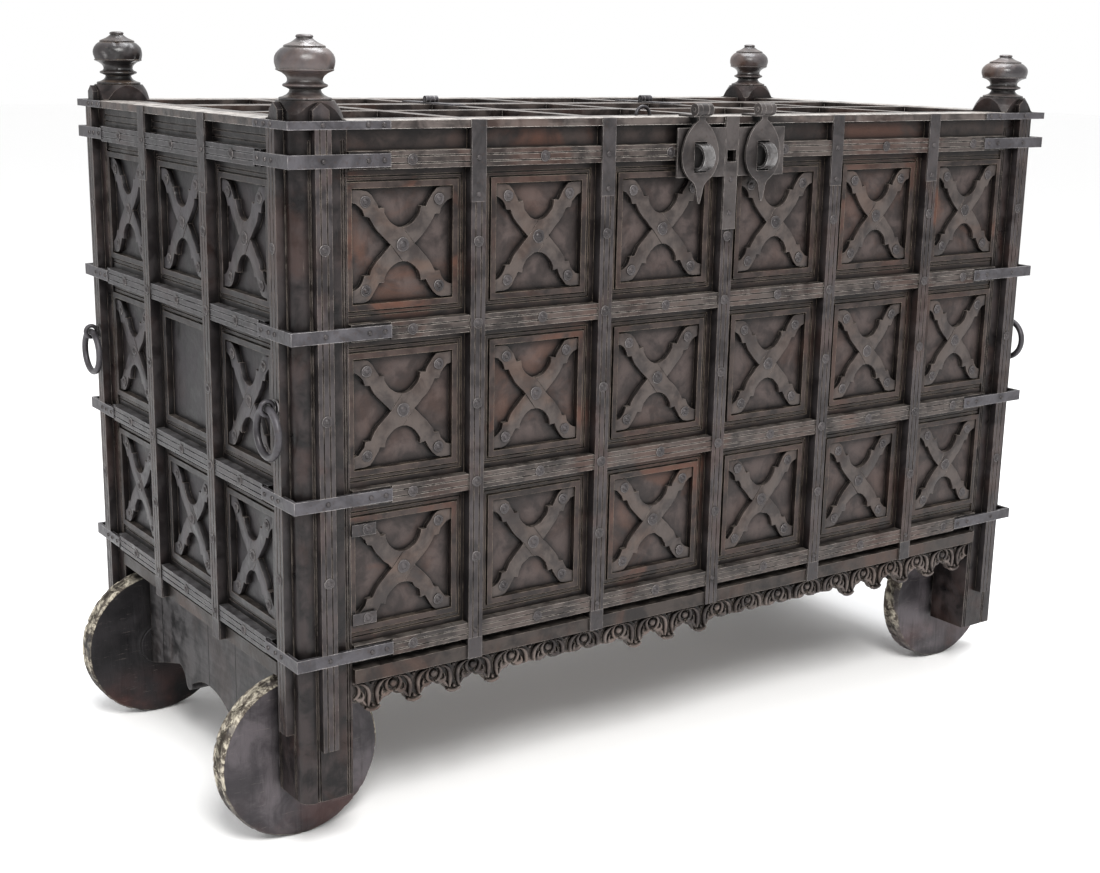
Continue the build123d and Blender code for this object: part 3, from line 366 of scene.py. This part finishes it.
MATERIALS = {
    # The rails' pale edges are wear and, pushed up here, also a painted highlight.
    "rail_x": wood("rail_wood_x", "x", (35, 31, 30), (68, 61, 58), worn=(164, 156, 149), wear=1.4,
                   polish=0.34),
    # The end rails take a darker, cooler copy of the rail wood: painted shade of the ends.
    "rail_y_shaded": wood("shaded_rail_wood_y", "y", (26, 25, 27), (58, 56, 58), worn=(158, 156, 158), wear=1.2,
                   warmth=0.1, polish=0.34),
    "rim": wood("rim_wood", "x", (36, 32, 31), (80, 73, 70), worn=(200, 194, 188), wear=1.6, warmth=0.2,
                polish=0.36, streak=0.6, painted_top_light=0.6),
    # Darker than the rails: painted shade of the recessed bottom board.
    "bottom": wood("shaded_bottom_wood", "x", (26, 22, 21), (52, 46, 43), warm=(74, 52, 42), wear=0.9, warmth=0.4,
                   polish=0.40),
    "upright": wood("upright_wood", "z", (32, 29, 30), (56, 52, 53), wear=0.9, warmth=0.2, polish=0.36,
                    streak=0.18),
    "post": wood("post_wood", "z", (14, 12, 13), (46, 40, 40), warm=(58, 38, 31), wear=0.8, warmth=0.35,
                 polish=0.34, streak=0.4),
    "panel": wood("panel_wood", "z", (40, 34, 33), (68, 59, 57), warm=(84, 57, 45), wear=0.4, warmth=0.45,
                  polish=0.46, cells=True, streak=0.18),
    # Darker, cooler copy of the panel wood for the ends: painted shade.
    "end_panel": wood("end_panel_wood", "z", (17, 16, 18), (44, 41, 44), warm=(54, 42, 38), wear=0.4,
                      warmth=0.2, polish=0.40),
    "cross": wood("cross_wood", "z", (46, 41, 40), (70, 63, 60), warm=(92, 68, 54), warmth=0.28, cells=True,
                  streak=0.22),
    # Darker, cooler copy of the cross wood for the ends: painted shade.
    "end_cross": wood("shaded_end_cross_wood", "z", (38, 36, 38), (64, 61, 64), warm=(70, 58, 52), warmth=0.2,
                      polish=0.36, streak=0.22),
    "moulding": wood("moulding_wood", "x", (28, 23, 22), (56, 47, 44), warm=(84, 54, 42),
                     worn=(128, 116, 104), wear=1.1, warmth=0.55, cells=True, streak=0.18),
    # Darker, cooler copy of the moulding wood for the ends: painted shade.
    "end_moulding": wood("shaded_end_moulding_wood", "y", (20, 18, 19), (44, 41, 42), warm=(58, 44, 38), wear=1.1,
                         polish=0.36, streak=0.18),
    "carving": wood("carved_wood", "x", (44, 38, 37), (92, 83, 79), warm=(102, 78, 64),
                    worn=(146, 136, 126), wear=0.9, warmth=0.25, streak=0.25),
    "turned": wood("turned_wood", "x", (32, 28, 30), (64, 57, 58), warm=(98, 72, 57), worn=(168, 158, 150),
                   wear=0.5, warmth=0.35, polish=0.34, streak=0.3, shine=0.6),
    "dark_turned": wood("dark_turned_wood", "x", (18, 16, 17), (42, 37, 38), warm=(112, 82, 60),
                        worn=(150, 128, 108), wear=0.8, warmth=0.55, polish=0.36, streak=0.3, shine=0.5),
    "beam": wood("beam_wood", "y", (26, 25, 26), (76, 74, 75), wear=0.8, warmth=0.1, polish=0.5, streak=0.5,
                 joints=BEAM_JOINTS),
    "inside": wood("inside_wood", "x", (52, 44, 39), (88, 78, 68), wear=0.6, warmth=0.4, polish=0.6,
                   streak=1.0),
    "iron": iron("wrought_iron", (46, 44, 47), (76, 74, 78), (176, 172, 172)),
    "nail": iron("nail_iron", (44, 41, 42), (70, 66, 67), (160, 154, 152)),
    "plate_iron": iron("plate_iron", (36, 34, 35), (62, 58, 59), (140, 134, 132)),
    "hasp_iron": iron("hasp_iron", (42, 39, 39), (72, 67, 66), (160, 153, 149)),
    "bright_iron": iron("rubbed_iron", (62, 60, 60), (136, 134, 134), (224, 223, 222), 0.7, 0.28),
}
# Nodes that aren't listed here are plain wrought iron.
LOOK = {
    "rail_x": ["front_rails", "rear_rails", "lid_lattice", "rear_top_lattice"],
    "bottom": ["bottom_rails"],
    "rail_y_shaded": ["end_rails"],
    "rim": ["rim_bars"],
    "beam": ["left_end_beam", "right_end_beam"],
    "upright": ["front_uprights", "rear_uprights", "end_uprights", "post_strips"],
    "post": ["post_" + corner for corner in CORNERS],
    "panel": ["front_wall", "rear_wall", "lid_boards", "rear_top_boards"],
    "end_panel": ["left_wall", "right_wall"],
    "moulding": ["front_mouldings", "rear_mouldings"],
    "end_moulding": ["end_mouldings"],
    "inside": ["floor_boards", "top_ledges"],
    "plate_iron": ["tie_plates"],
    "hasp_iron": ["left_hasp", "right_hasp", "hasp_plates", "hasp_brackets", "keyhole_plate"],
    "bright_iron": ["hasp_staples"],
}
SOFT_EDGES = {
    "rail_x": 0.0016, "rail_y_shaded": 0.0016, "rim": 0.0022, "upright": 0.0016, "post": 0.0014, "bottom": 0.0014,
    "beam": 0.003, "moulding": 0.0008, "end_moulding": 0.0008,
    "iron": 0.0010, "hasp_iron": 0.0010, "plate_iron": 0.0008, "bright_iron": 0.0012,
}
REPLACED = [
    "front_apron", "front_crosses", "end_crosses", "rosette_nails", "dome_nails",
    *["wheel_" + corner for corner in CORNERS],
    *["finial_" + corner for corner in CORNERS],
]


def dress(obj, material):
    obj.data.materials.clear()
    obj.data.materials.append(material)


def soften(obj, width):
    """Round the hard edges of a piece."""
    bevel = obj.modifiers.new("worn_edges", "BEVEL")
    bevel.width = width
    bevel.segments = 2
    bevel.limit_method = "ANGLE"
    bevel.angle_limit = math.radians(40)
    bevel.use_clamp_overlap = True


def dress_frame():
    """Give every CAD piece that stays its material, and the looks listed in SOFT_EDGES softened edges."""
    look_of = {node: look for look, names in LOOK.items() for node in names}
    for name, obj in nodes.items():
        if name in REPLACED:
            continue
        look = look_of.get(name, "iron")
        dress(obj, MATERIALS[look])
        if look in SOFT_EDGES:
            soften(obj, SOFT_EDGES[look])


# ---- shared mesh work ----
class Build:
    """Collects the vertices and faces of one piece, then makes its object."""

    def __init__(self):
        self.verts = []
        self.faces = []

    def add(self, verts, faces):
        start = len(self.verts)
        self.verts += [tuple(v) for v in verts]
        self.faces += [tuple(start + i for i in face) for face in faces]

    def piece(self, name, material, node, body, smooth_angle):
        """Make the object, in place of a CAD node."""
        mesh = bpy.data.meshes.new(name)
        mesh.from_pydata(self.verts, [], self.faces)
        mesh.validate()
        mesh.shade_smooth()
        mesh.set_sharp_from_angle(angle=math.radians(smooth_angle))
        obj = bpy.data.objects.new(name, mesh)
        bpy.context.collection.objects.link(obj)
        dress(obj, material)
        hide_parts(node)
        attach(obj, body)


def islands(node):
    """Boxes (low, high) of the separate solids of a CAD node."""
    mesh = nodes[node].data
    parent = {}

    def root(k):
        while parent[k] != k:
            parent[k] = parent[parent[k]]
            k = parent[k]
        return k

    keys = [tuple(round(c, 5) for c in v.co) for v in mesh.vertices]
    for key in keys:
        parent.setdefault(key, key)
    for edge in mesh.edges:
        a, b = root(keys[edge.vertices[0]]), root(keys[edge.vertices[1]])
        if a != b:
            parent[a] = b
    boxes = {}
    for key in parent:
        low, high = boxes.setdefault(root(key), (list(key), list(key)))
        for i in range(3):
            low[i] = min(low[i], key[i])
            high[i] = max(high[i], key[i])
    return [(Vector(low), Vector(high)) for low, high in boxes.values()]


def outward(low, high):
    """The side direction a thin solid faces, away from the middle of the case."""
    size = high - low
    axis = min(range(3), key=lambda i: size[i])
    normal = Vector((0, 0, 0))
    normal[axis] = 1.0 if (low[axis] + high[axis]) / 2 > CASE_MIDDLE[axis] else -1.0
    return normal


def side_frame(normal):
    """Matrix columns right, up and out of a side of the chest."""
    up = Vector((0, 0, 1))
    right = up.cross(normal)
    return Matrix((right, up, normal)).transposed()


def lathe(build, profile, place, turn, steps, wobble):
    """Turn a profile of (radius, height) about the local z axis; closed where the radius is 0.

    Wobble takes an angle, a radius and a height, and gives the uneven radius and height there.
    """
    rings = []
    verts = []
    faces = []
    for radius, height in profile:
        if radius <= 1e-6:
            rings.append([len(verts)])
            verts.append(place + turn @ Vector((0, 0, height)))
            continue
        ring = []
        for i in range(steps):
            a = 2 * math.pi * i / steps
            r, h = wobble(a, radius, height)
            ring.append(len(verts))
            verts.append(place + turn @ Vector((r * math.cos(a), r * math.sin(a), h)))
        rings.append(ring)
    for a, b in zip(rings, rings[1:]):
        if len(a) == 1 and len(b) == 1:
            continue
        for i in range(steps):
            j = (i + 1) % steps
            if len(a) == 1:
                faces.append((a[0], b[j], b[i]))
            elif len(b) == 1:
                faces.append((a[i], a[j], b[0]))
            else:
                faces.append((a[i], a[j], b[j], b[i]))
    build.add(verts, faces)


# ---- nails: profiles as shares of the nail's radius and height ----
ROSETTE = [
    (0, 0), (1, 0), (1, 0.26), (0.93, 0.40), (0.84, 0.40), (0.72, 0.26), (0.60, 0.24), (0.54, 0.34),
    (0.46, 0.46), (0.42, 0.66), (0.30, 0.88), (0.16, 0.98), (0, 1),
]
DOME = [(0, 0), (1, 0), (0.98, 0.25), (0.86, 0.62), (0.60, 0.88), (0.30, 0.98), (0, 1)]
NAILS = (("rosette_nails", "rosette_heads", ROSETTE, 22), ("dome_nails", "domed_heads", DOME, 12))


def make_nails():
    """Rosettes with a ringed washer and a domed head, and small hammered domes."""
    rng = random.Random(11)
    for node, name, shape, steps in NAILS:
        build = Build()
        for low, high in islands(node):
            normal = outward(low, high)
            size = high - low
            radius = max(size) / 2
            tall = min(size)
            base = (low + high) / 2 - normal * tall / 2
            turn = side_frame(normal) @ Matrix.Rotation(rng.uniform(0, 6.28), 3, "Z")
            tall *= rng.uniform(0.86, 0.99)
            profile = [(radius * r, tall * h) for r, h in shape]
            lobe = rng.random() * 9

            def wobble(a, r, h):
                return r * (0.97 + 0.03 * math.sin(3 * a + lobe)), h

            lathe(build, profile, base, turn, steps, wobble)
        build.piece(name, MATERIALS["nail"], node, "chest", 50)


# ---- finials: profile in millimetres, from the dowel up ----
FINIAL_TALL = 99.0
SHORT_FINIAL = 0.88
FINIAL = [
    (0, -20), (11.9, -20), (11.9, 0), (40.5, 0), (41, 0.8), (41, 3.2), (40, 4.2), (35, 5.4), (29, 8.4),
    (25.6, 12), (24.2, 16), (28, 18), (33.6, 20.2), (35, 21.4), (35, 23.2), (33.8, 24.4), (29.6, 26),
    (27.4, 29), (27.8, 33), (30.4, 37), (36, 41.2), (42.4, 43.8), (45, 45.0), (45.3, 46.2), (44.4, 47.4),
    (45.4, 50), (46.7, 55), (47, 60), (46.3, 65), (44.2, 69.5), (41, 73.2), (37, 76.9), (33.6, 78.6),
    (32.6, 79.2), (32.8, 80.2), (32.6, 81.6), (31, 82.6), (26, 84.6), (20, 87.2), (15, 90.6), (12.6, 92.6),
    (12.4, 93.6), (13.6, 94.4), (13.7, 96), (12, 97.8), (8, 98.7), (0, 98.95),
]


def make_finials():
    """Turned knobs, dented by age; the rear left one is chipped and the front right one lower."""
    for corner in CORNERS:
        node = "finial_" + corner
        low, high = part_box(node)
        centre = (low + high) / 2
        squeeze = SHORT_FINIAL if corner == "front_right" else 1.0
        base = high.z - FINIAL_TALL * MM * squeeze
        profile = [(r * MM, (h * squeeze if h > 0 else h) * MM) for r, h in FINIAL]
        chipped = corner == "rear_left"
        shift = Vector((3.1, 1.7, 0.4)) * (1 + len(corner))

        def wobble(a, r, h):
            if h <= 0 or r < 0.012:
                return r, h
            spot = Vector((math.cos(a), math.sin(a), h * 30)) * 1.6 + shift
            dent = noise.noise(spot * 2.2) * 0.0006 + abs(noise.noise(spot * 0.9)) * 0.0006
            if chipped and 0.040 < h < 0.080:
                bite = noise.noise(Vector((math.cos(a) * 2.3, math.sin(a) * 2.3, h * 70)) + shift)
                dent += max(0.0, bite - 0.05) * 0.011
            return r - abs(dent), h

        build = Build()
        lathe(build, profile, Vector((centre.x, centre.y, base)), Matrix.Identity(3), 96, wobble)
        material = MATERIALS["dark_turned" if chipped else "turned"]
        build.piece("turned_" + node, material, node, "chest", 45)


# ---- wheels, in metres ----
BORE = 0.01508
BOSS = 0.0084              # the boss stands this far off each face
BOSS_R = 0.042
BOSS_FOOT_R = 0.0436
TREAD_ROUND = 0.006        # rounding between face and tread
FACE_ROWS = 16
TREAD_ROWS = 5
WHEEL_TONES = ((42, 39, 42), (78, 73, 76))
# Darker tones for the rear left wheel: painted shade.
SHADED_WHEEL_TONES = ((13, 12, 14), (32, 30, 32))


def wheel_profile(radius, half):
    """Closed section of a disc wheel, from the bore out over one face, the tread and the other face."""
    face = half - BOSS
    shape = [(BORE, -half), (BOSS_R - 0.0015, -half), (BOSS_R, -half + 0.0015)]
    shape += [(BOSS_R + 0.0002, -face - 0.0006), (BOSS_FOOT_R, -face)]
    width = radius - TREAD_ROUND - BOSS_FOOT_R
    shape += [(BOSS_FOOT_R + width * k / FACE_ROWS, -face) for k in range(1, FACE_ROWS + 1)]
    shape += [(radius - 0.003, -face + 0.0006), (radius - 0.0008, -face + 0.003)]
    shape += [(radius, -face + TREAD_ROUND)]
    flat = 2 * (face - TREAD_ROUND)
    shape += [(radius, -face + TREAD_ROUND + flat * k / TREAD_ROWS) for k in range(1, TREAD_ROWS)]
    shape += [(r, -h) for r, h in reversed(shape)]
    return shape + shape[:1]


def make_wheels():
    """Solid wooden discs with uneven faces and a chipped rim; the rear left one is painted darker, as
    painted shade.
    """
    for corner in CORNERS:
        node = "wheel_" + corner
        low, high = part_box(node)
        centre = (low + high) / 2
        radius = (high.z - low.z) / 2
        half = (high.y - low.y) / 2
        chip_line = half - BOSS - 0.0075
        seed = Vector((centre.x * 7, centre.y * 9, 1.3))

        def wobble(a, r, h):
            spot = Vector((math.cos(a) * r, math.sin(a) * r, h))
            if r < BOSS_FOOT_R:
                return r, h
            if r < radius - 0.0055:
                dip = 0.0005 * abs(noise.noise(spot * 22 + seed))
                dip += 0.0004 * abs(noise.noise(spot * 70 + seed))
                return r, h - math.copysign(dip, h)
            turning = Vector((math.cos(a), math.sin(a), 0)) * 3.2
            broad = max(0.0, noise.noise(turning * 0.9 + seed) - 0.05) * 0.0025
            chip = max(0.0, noise.noise(turning * 4.5 + seed + Vector((0, 0, h * 60))) - 0.20) * 0.006
            near_edge = 1.0 if abs(h) > chip_line else 0.35
            return r - broad - chip * near_edge, h

        build = Build()
        turn = Matrix(((1, 0, 0), (0, 0, 1), (0, -1, 0)))
        lathe(build, wheel_profile(radius, half), centre, turn, 220, wobble)
        # The rear left wheel gets the darker tones as painted shade.
        tones = SHADED_WHEEL_TONES if corner == "rear_left" else WHEEL_TONES
        material = wheel_wood("tread_" + corner, centre, radius, *tones)
        build.piece("disc_" + corner, material, node, node + "_body", 32)


# ---- crosses: one arm in millimetres from the cross's middle, for a cross 178 mm wide and tall ----
CROSS_HALF = 89.0
BAY = (0, 27)
WAIST = (21, 0)
ARM_BAY = [(8, 28), (16, 32), (23, 38), (28.5, 45)]
ARM_TOP = [
    (31.5, 52), (32.5, 60), (41.5, 58.5), (44, 64), (49, 72), (54.5, 80), (61, 86.5), (70, CROSS_HALF),
]
ARM_END = [(CROSS_HALF, CROSS_HALF), (CROSS_HALF, 70)]
ARM_LOW = [
    (81, 67.5), (75, 62.5), (70, 56), (66.5, 46.5), (58, 46), (55, 39.5), (50, 31), (43.5, 23), (36, 15),
    (28, 7),
]
CROSS_BEVEL = 0.9
BUTT_GAP = 0.35
RAGGED = 1.6               # extra unevenness of a splintered bay
LOWEST_ROW = 0.6           # crosses with their middle below this height in metres are the lowest row


def arm_outline(rng, k, ragged=0.0):
    """One hand-cut arm from the bay above the middle to the waist; k stretches it sideways."""
    def cut(points, amount):
        return [(x * k + rng.uniform(-amount, amount), z + rng.uniform(-amount, amount)) for x, z in points]

    top = [BAY] + cut(ARM_BAY, 0.5 + ragged) + cut(ARM_TOP, 0.7)
    return top + cut(ARM_END, 0.4) + cut(ARM_LOW, 0.7) + [(WAIST[0] * k, 0)]


def slab(build, outline, height, frame_at, bevel):
    """Raised flat piece with a rounded upper edge; the outline is in millimetres and may run either way."""
    area = sum(a[0] * b[1] - b[0] * a[1] for a, b in zip(outline, outline[1:] + outline[:1]))
    if area < 0:
        outline = outline[::-1]
    n = len(outline)

    def inset(amount):
        moved = []
        for i in range(n):
            q = Vector(outline[i])
            before = q - Vector(outline[i - 1])
            after = Vector(outline[(i + 1) % n]) - q
            n1 = Vector((-before.y, before.x)).normalized()
            n2 = Vector((-after.y, after.x)).normalized()
            way = n1 + n2
            if way.length < 0.35:
                way = n1
            way.normalize()
            moved.append(q + way * amount / max(0.6, way.dot(n1)))
        return moved

    levels = [(0.0, 0.0), (0.0, height - bevel), (bevel * 0.3, height - bevel * 0.3), (bevel, height)]
    verts = []
    for amount, z in levels:
        verts += [frame_at(x, y, z) for x, y in inset(amount)]
    faces = []
    for level in range(len(levels) - 1):
        for i in range(n):
            j = (i + 1) % n
            a = level * n
            faces.append((a + i, a + j, a + n + j, a + n + i))
    top = (len(levels) - 1) * n
    faces.append(tuple(top + i for i in range(n)))
    faces.append(tuple(reversed(range(n))))
    build.add(verts, faces)


def make_crosses():
    """Hand-cut crosses: one diagonal piece runs through and two arms butt against it."""
    rng = random.Random(5)
    for node, look in (("front_crosses", "cross"), ("end_crosses", "end_cross")):
        build = Build()
        boxes = sorted(islands(node), key=lambda box: (round(box[0].x, 2), -box[0].z, box[0].y))
        for low, high in boxes:
            normal = outward(low, high)
            turn = side_frame(normal)
            size = high - low
            thick = min(size) / MM
            half = (size.x if abs(normal.y) > 0.5 else size.y) / MM / 2
            k = half / CROSS_HALF
            tall = size.z / MM / 2 / CROSS_HALF
            foot = (low + high) / 2 - normal * min(size) / 2
            tilt = rng.uniform(-0.010, 0.010)
            shift = (rng.uniform(-0.4, 0.4), rng.uniform(-0.5, 0.5))
            main = rng.choice((1, 1, -1))

            def place(x, y, z):
                y *= tall
                x, y = x - tilt * y + shift[0], y + tilt * x + shift[1]
                x = max(-half, min(half, x))
                return foot + turn @ Vector((x, y, z)) * MM

            through = []
            for sx, sz in ((1, 1), (-1, -1)):
                through += [(x * sx * main, z * sz) for x, z in arm_outline(rng, k)]
            slab(build, through, thick, place, CROSS_BEVEL)
            for sx, sz in ((1, -1), (-1, 1)):
                ragged = RAGGED if sz < 0 and foot.z < LOWEST_ROW else 0.0
                arm = [(x * sx * main, z * sz) for x, z in arm_outline(rng, k, ragged)]
                out = Vector((sx * main * 24.0, sz * 21.0)).normalized() * BUTT_GAP
                arm = [(x + out.x, z + out.y) for x, z in arm]
                slab(build, arm, thick - rng.uniform(0.1, 0.9), place, CROSS_BEVEL)
        build.piece("cut_" + node, MATERIALS[look], node, "chest", 30)


# ---- carved apron, in millimetres: x from its left edge, z up from its top edge ----
RIBBON_ACROSS = 6
RIBBON_STEPS = 5
RIBBON_FULL = 1.22         # bands are this much wider than their listed widths
BALL_STEPS = 14
BALL_ROWS = 4


def smooth_path(points, widths):
    """Points and widths along a curve through the given points."""
    path = []
    ends = [points[0]] + list(points) + [points[-1]]
    last = len(ends) - 3
    for k in range(1, last + 1):
        for step in range(RIBBON_STEPS + (k == last)):
            t = step / RIBBON_STEPS
            p0, p1, p2, p3 = (Vector(ends[k + d]) for d in (-1, 0, 1, 2))
            bend = (2 * p0 - 5 * p1 + 4 * p2 - p3) * t * t + (3 * p1 - p0 - 3 * p2 + p3) * t ** 3
            spot = 0.5 * (2 * p1 + (p2 - p0) * t + bend)
            width = widths[k - 1] * (1 - t) + widths[min(k, len(widths) - 1)] * t
            path.append((spot, width * RIBBON_FULL))
    return path


def ribbon(build, points, widths, height, frame_at):
    """Rounded carved band along a smooth path through points."""
    path = smooth_path(points, widths)
    across = RIBBON_ACROSS
    verts = []
    faces = []
    for i, (p, w) in enumerate(path):
        q = path[min(i + 1, len(path) - 1)][0] - path[max(i - 1, 0)][0]
        side = Vector((-q.y, q.x)).normalized()
        for j in range(across + 1):
            a = math.pi * j / across
            off = math.cos(a) * w / 2
            verts.append(frame_at(p.x + side.x * off, p.y + side.y * off, math.sin(a) ** 0.7 * height))
    row = across + 1
    for i in range(len(path) - 1):
        for j in range(across):
            a = i * row + j
            faces.append((a, a + row, a + row + 1, a + 1))
        faces.append((i * row, i * row + across, (i + 1) * row + across, (i + 1) * row))
    faces.append(tuple(range(row)))
    faces.append(tuple(reversed(range((len(path) - 1) * row, len(path) * row))))
    build.add(verts, faces)


def knob(build, x, z, radius, height, frame_at):
    """Carved half ball."""
    verts = []
    faces = []
    steps, rows = BALL_STEPS, BALL_ROWS
    for k in range(rows):
        a = math.pi / 2 * k / rows
        ring = radius * math.cos(a)
        for i in range(steps):
            b = 2 * math.pi * i / steps
            verts.append(frame_at(x + ring * math.cos(b), z + ring * math.sin(b), height * math.sin(a)))
    verts.append(frame_at(x, z, height))
    for k in range(rows - 1):
        for i in range(steps):
            j = (i + 1) % steps
            faces.append((k * steps + i, k * steps + j, (k + 1) * steps + j, (k + 1) * steps + i))
    top = rows * steps
    faces += [((rows - 1) * steps + i, (rows - 1) * steps + (i + 1) % steps, top) for i in range(steps)]
    faces.append(tuple(reversed(range(steps))))
    build.add(verts, faces)


APRON_UNITS = 19
DEEP_UNITS = (0, 1, 2, 3, 7, 8, 9, 14, 15, 16, 17, 18)
RELIEF = 8.5
VALLEY_Z = -37
DEEP_LOBE = [(-18, -47), (-14, -54), (-8, -60), (0, -62), (8, -60), (14, -54), (18, -47)]
SHALLOW_LOBE = [(0, -40.5)]

# Bands to one side of a valley: points, widths and share of the relief.
CRESCENT = (
    [(2.5, -7.5), (9.5, -9.5), (14, -17), (13, -26), (8, -32.5), (2.2, -33.5)],
    [3.0, 5.2, 6.2, 6.4, 5.4, 2.4], 0.80,
)
FOOT_CURL = (
    [(7.5, -33), (13, -36.5), (19.5, -37.5), (22.5, -32), (20, -24)], [4.0, 8.0, 8.0, 5.0, 1.6], 0.72,
)
DEEP_BAND = (
    [(10, -7), (20, -9.5), (28.5, -17), (32.5, -28), (32, -40), (30.5, -50)],
    [2.6, 5.0, 6.8, 7.2, 6.6, 4.0], 0.98,
)
DEEP_SPUR = ([(19, -38), (24, -43), (27.5, -49)], [4.5, 5.5, 3.0], 0.7)
SHALLOW_BAND = (
    [(10, -7), (20, -9.5), (28.5, -17), (32, -27), (31, -38)], [2.6, 5.0, 6.8, 7.2, 5.0], 0.98,
)
LOBE_EDGE = [(-13.5, -53.5), (-8, -57.5), (0, -58.8), (8, -57.5), (13.5, -53.5)]
LOBE_WIDTHS = [4.5, 6.0, 6.4, 6.0, 4.5]


def apron_outline(unit):
    """Lower edge of the apron's board from left to right, then back along its top."""
    outline = []
    for k in range(APRON_UNITS):
        x0, xm, x1 = k * unit, (k + 0.5) * unit, (k + 1) * unit
        outline += [(x0, VALLEY_Z), (x0 + 7, -42), (x0 + 17, -43.5)]
        outline += [(xm + x, z) for x, z in (DEEP_LOBE if k in DEEP_UNITS else SHALLOW_LOBE)]
        outline += [(x1 - 17, -43.5), (x1 - 7, -42)]
    return outline + [(APRON_UNITS * unit, VALLEY_Z), (APRON_UNITS * unit, 0), (0, 0)]


def make_apron():
    """Carved border: balls in crescents at the valleys, with bands falling to the lobes."""
    rng = random.Random(3)
    low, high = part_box("front_apron")
    unit = (high.x - low.x) / MM / APRON_UNITS
    ground = low.y + RELIEF * MM

    def frame_at(x, z, out):
        return Vector((low.x + x * MM, ground - out * MM, high.z + z * MM))

    build = Build()
    board = apron_outline(unit)
    n = len(board)
    verts = [frame_at(x, z, 0) for x, z in board]
    verts += [Vector((v.x, high.y, v.z)) for v in verts]
    faces = [tuple(range(n)), tuple(reversed(range(n, 2 * n)))]
    faces += [(i, i + n, (i + 1) % n + n, (i + 1) % n) for i in range(n)]
    build.add(verts, faces)
    left, right = 0.2, APRON_UNITS * unit - 0.2
    slab(build, [(left, -0.3), (right, -0.3), (right, -5.6), (left, -5.6)], RELIEF - 0.3, frame_at, 0.9)

    for k in range(APRON_UNITS + 1):
        valley = k * unit
        hand = rng.uniform(0.93, 1.0)
        if 0 < k < APRON_UNITS:
            knob(build, valley, -19.5, 8.2, RELIEF * hand, frame_at)
        for sx in (-1, 1):
            lobe = k if sx > 0 else k - 1
            if not 0 <= lobe < APRON_UNITS:
                continue
            falling = [DEEP_BAND, DEEP_SPUR] if lobe in DEEP_UNITS else [SHALLOW_BAND]
            for points, widths, share in [CRESCENT, FOOT_CURL] + falling:
                carved = []
                for x, z in points:
                    x += rng.uniform(-0.4, 0.4)
                    carved.append((valley + sx * x, z + rng.uniform(-0.4, 0.4)))
                ribbon(build, carved, widths, RELIEF * share * hand, frame_at)
    for k in range(APRON_UNITS):
        middle = (k + 0.5) * unit
        knob(build, middle, -10.5, 4.6, RELIEF * 0.7, frame_at)
        if k in DEEP_UNITS:
            edge = [(middle + x, z) for x, z in LOBE_EDGE]
            ribbon(build, edge, LOBE_WIDTHS, RELIEF * 0.9, frame_at)
            knob(build, middle, -50.5, 4.2, RELIEF * 0.95, frame_at)
    build.piece("carved_apron", MATERIALS["carving"], "front_apron", "chest", 50)


make_camera()
make_light()
make_floor()
dress_frame()
make_nails()
make_finials()
make_wheels()
make_crosses()
make_apron()

sizes = {"cad": CAD_BOX, "visual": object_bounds()}
{key: [[float(v) for v in corner] for corner in box] for key, box in sizes.items()}
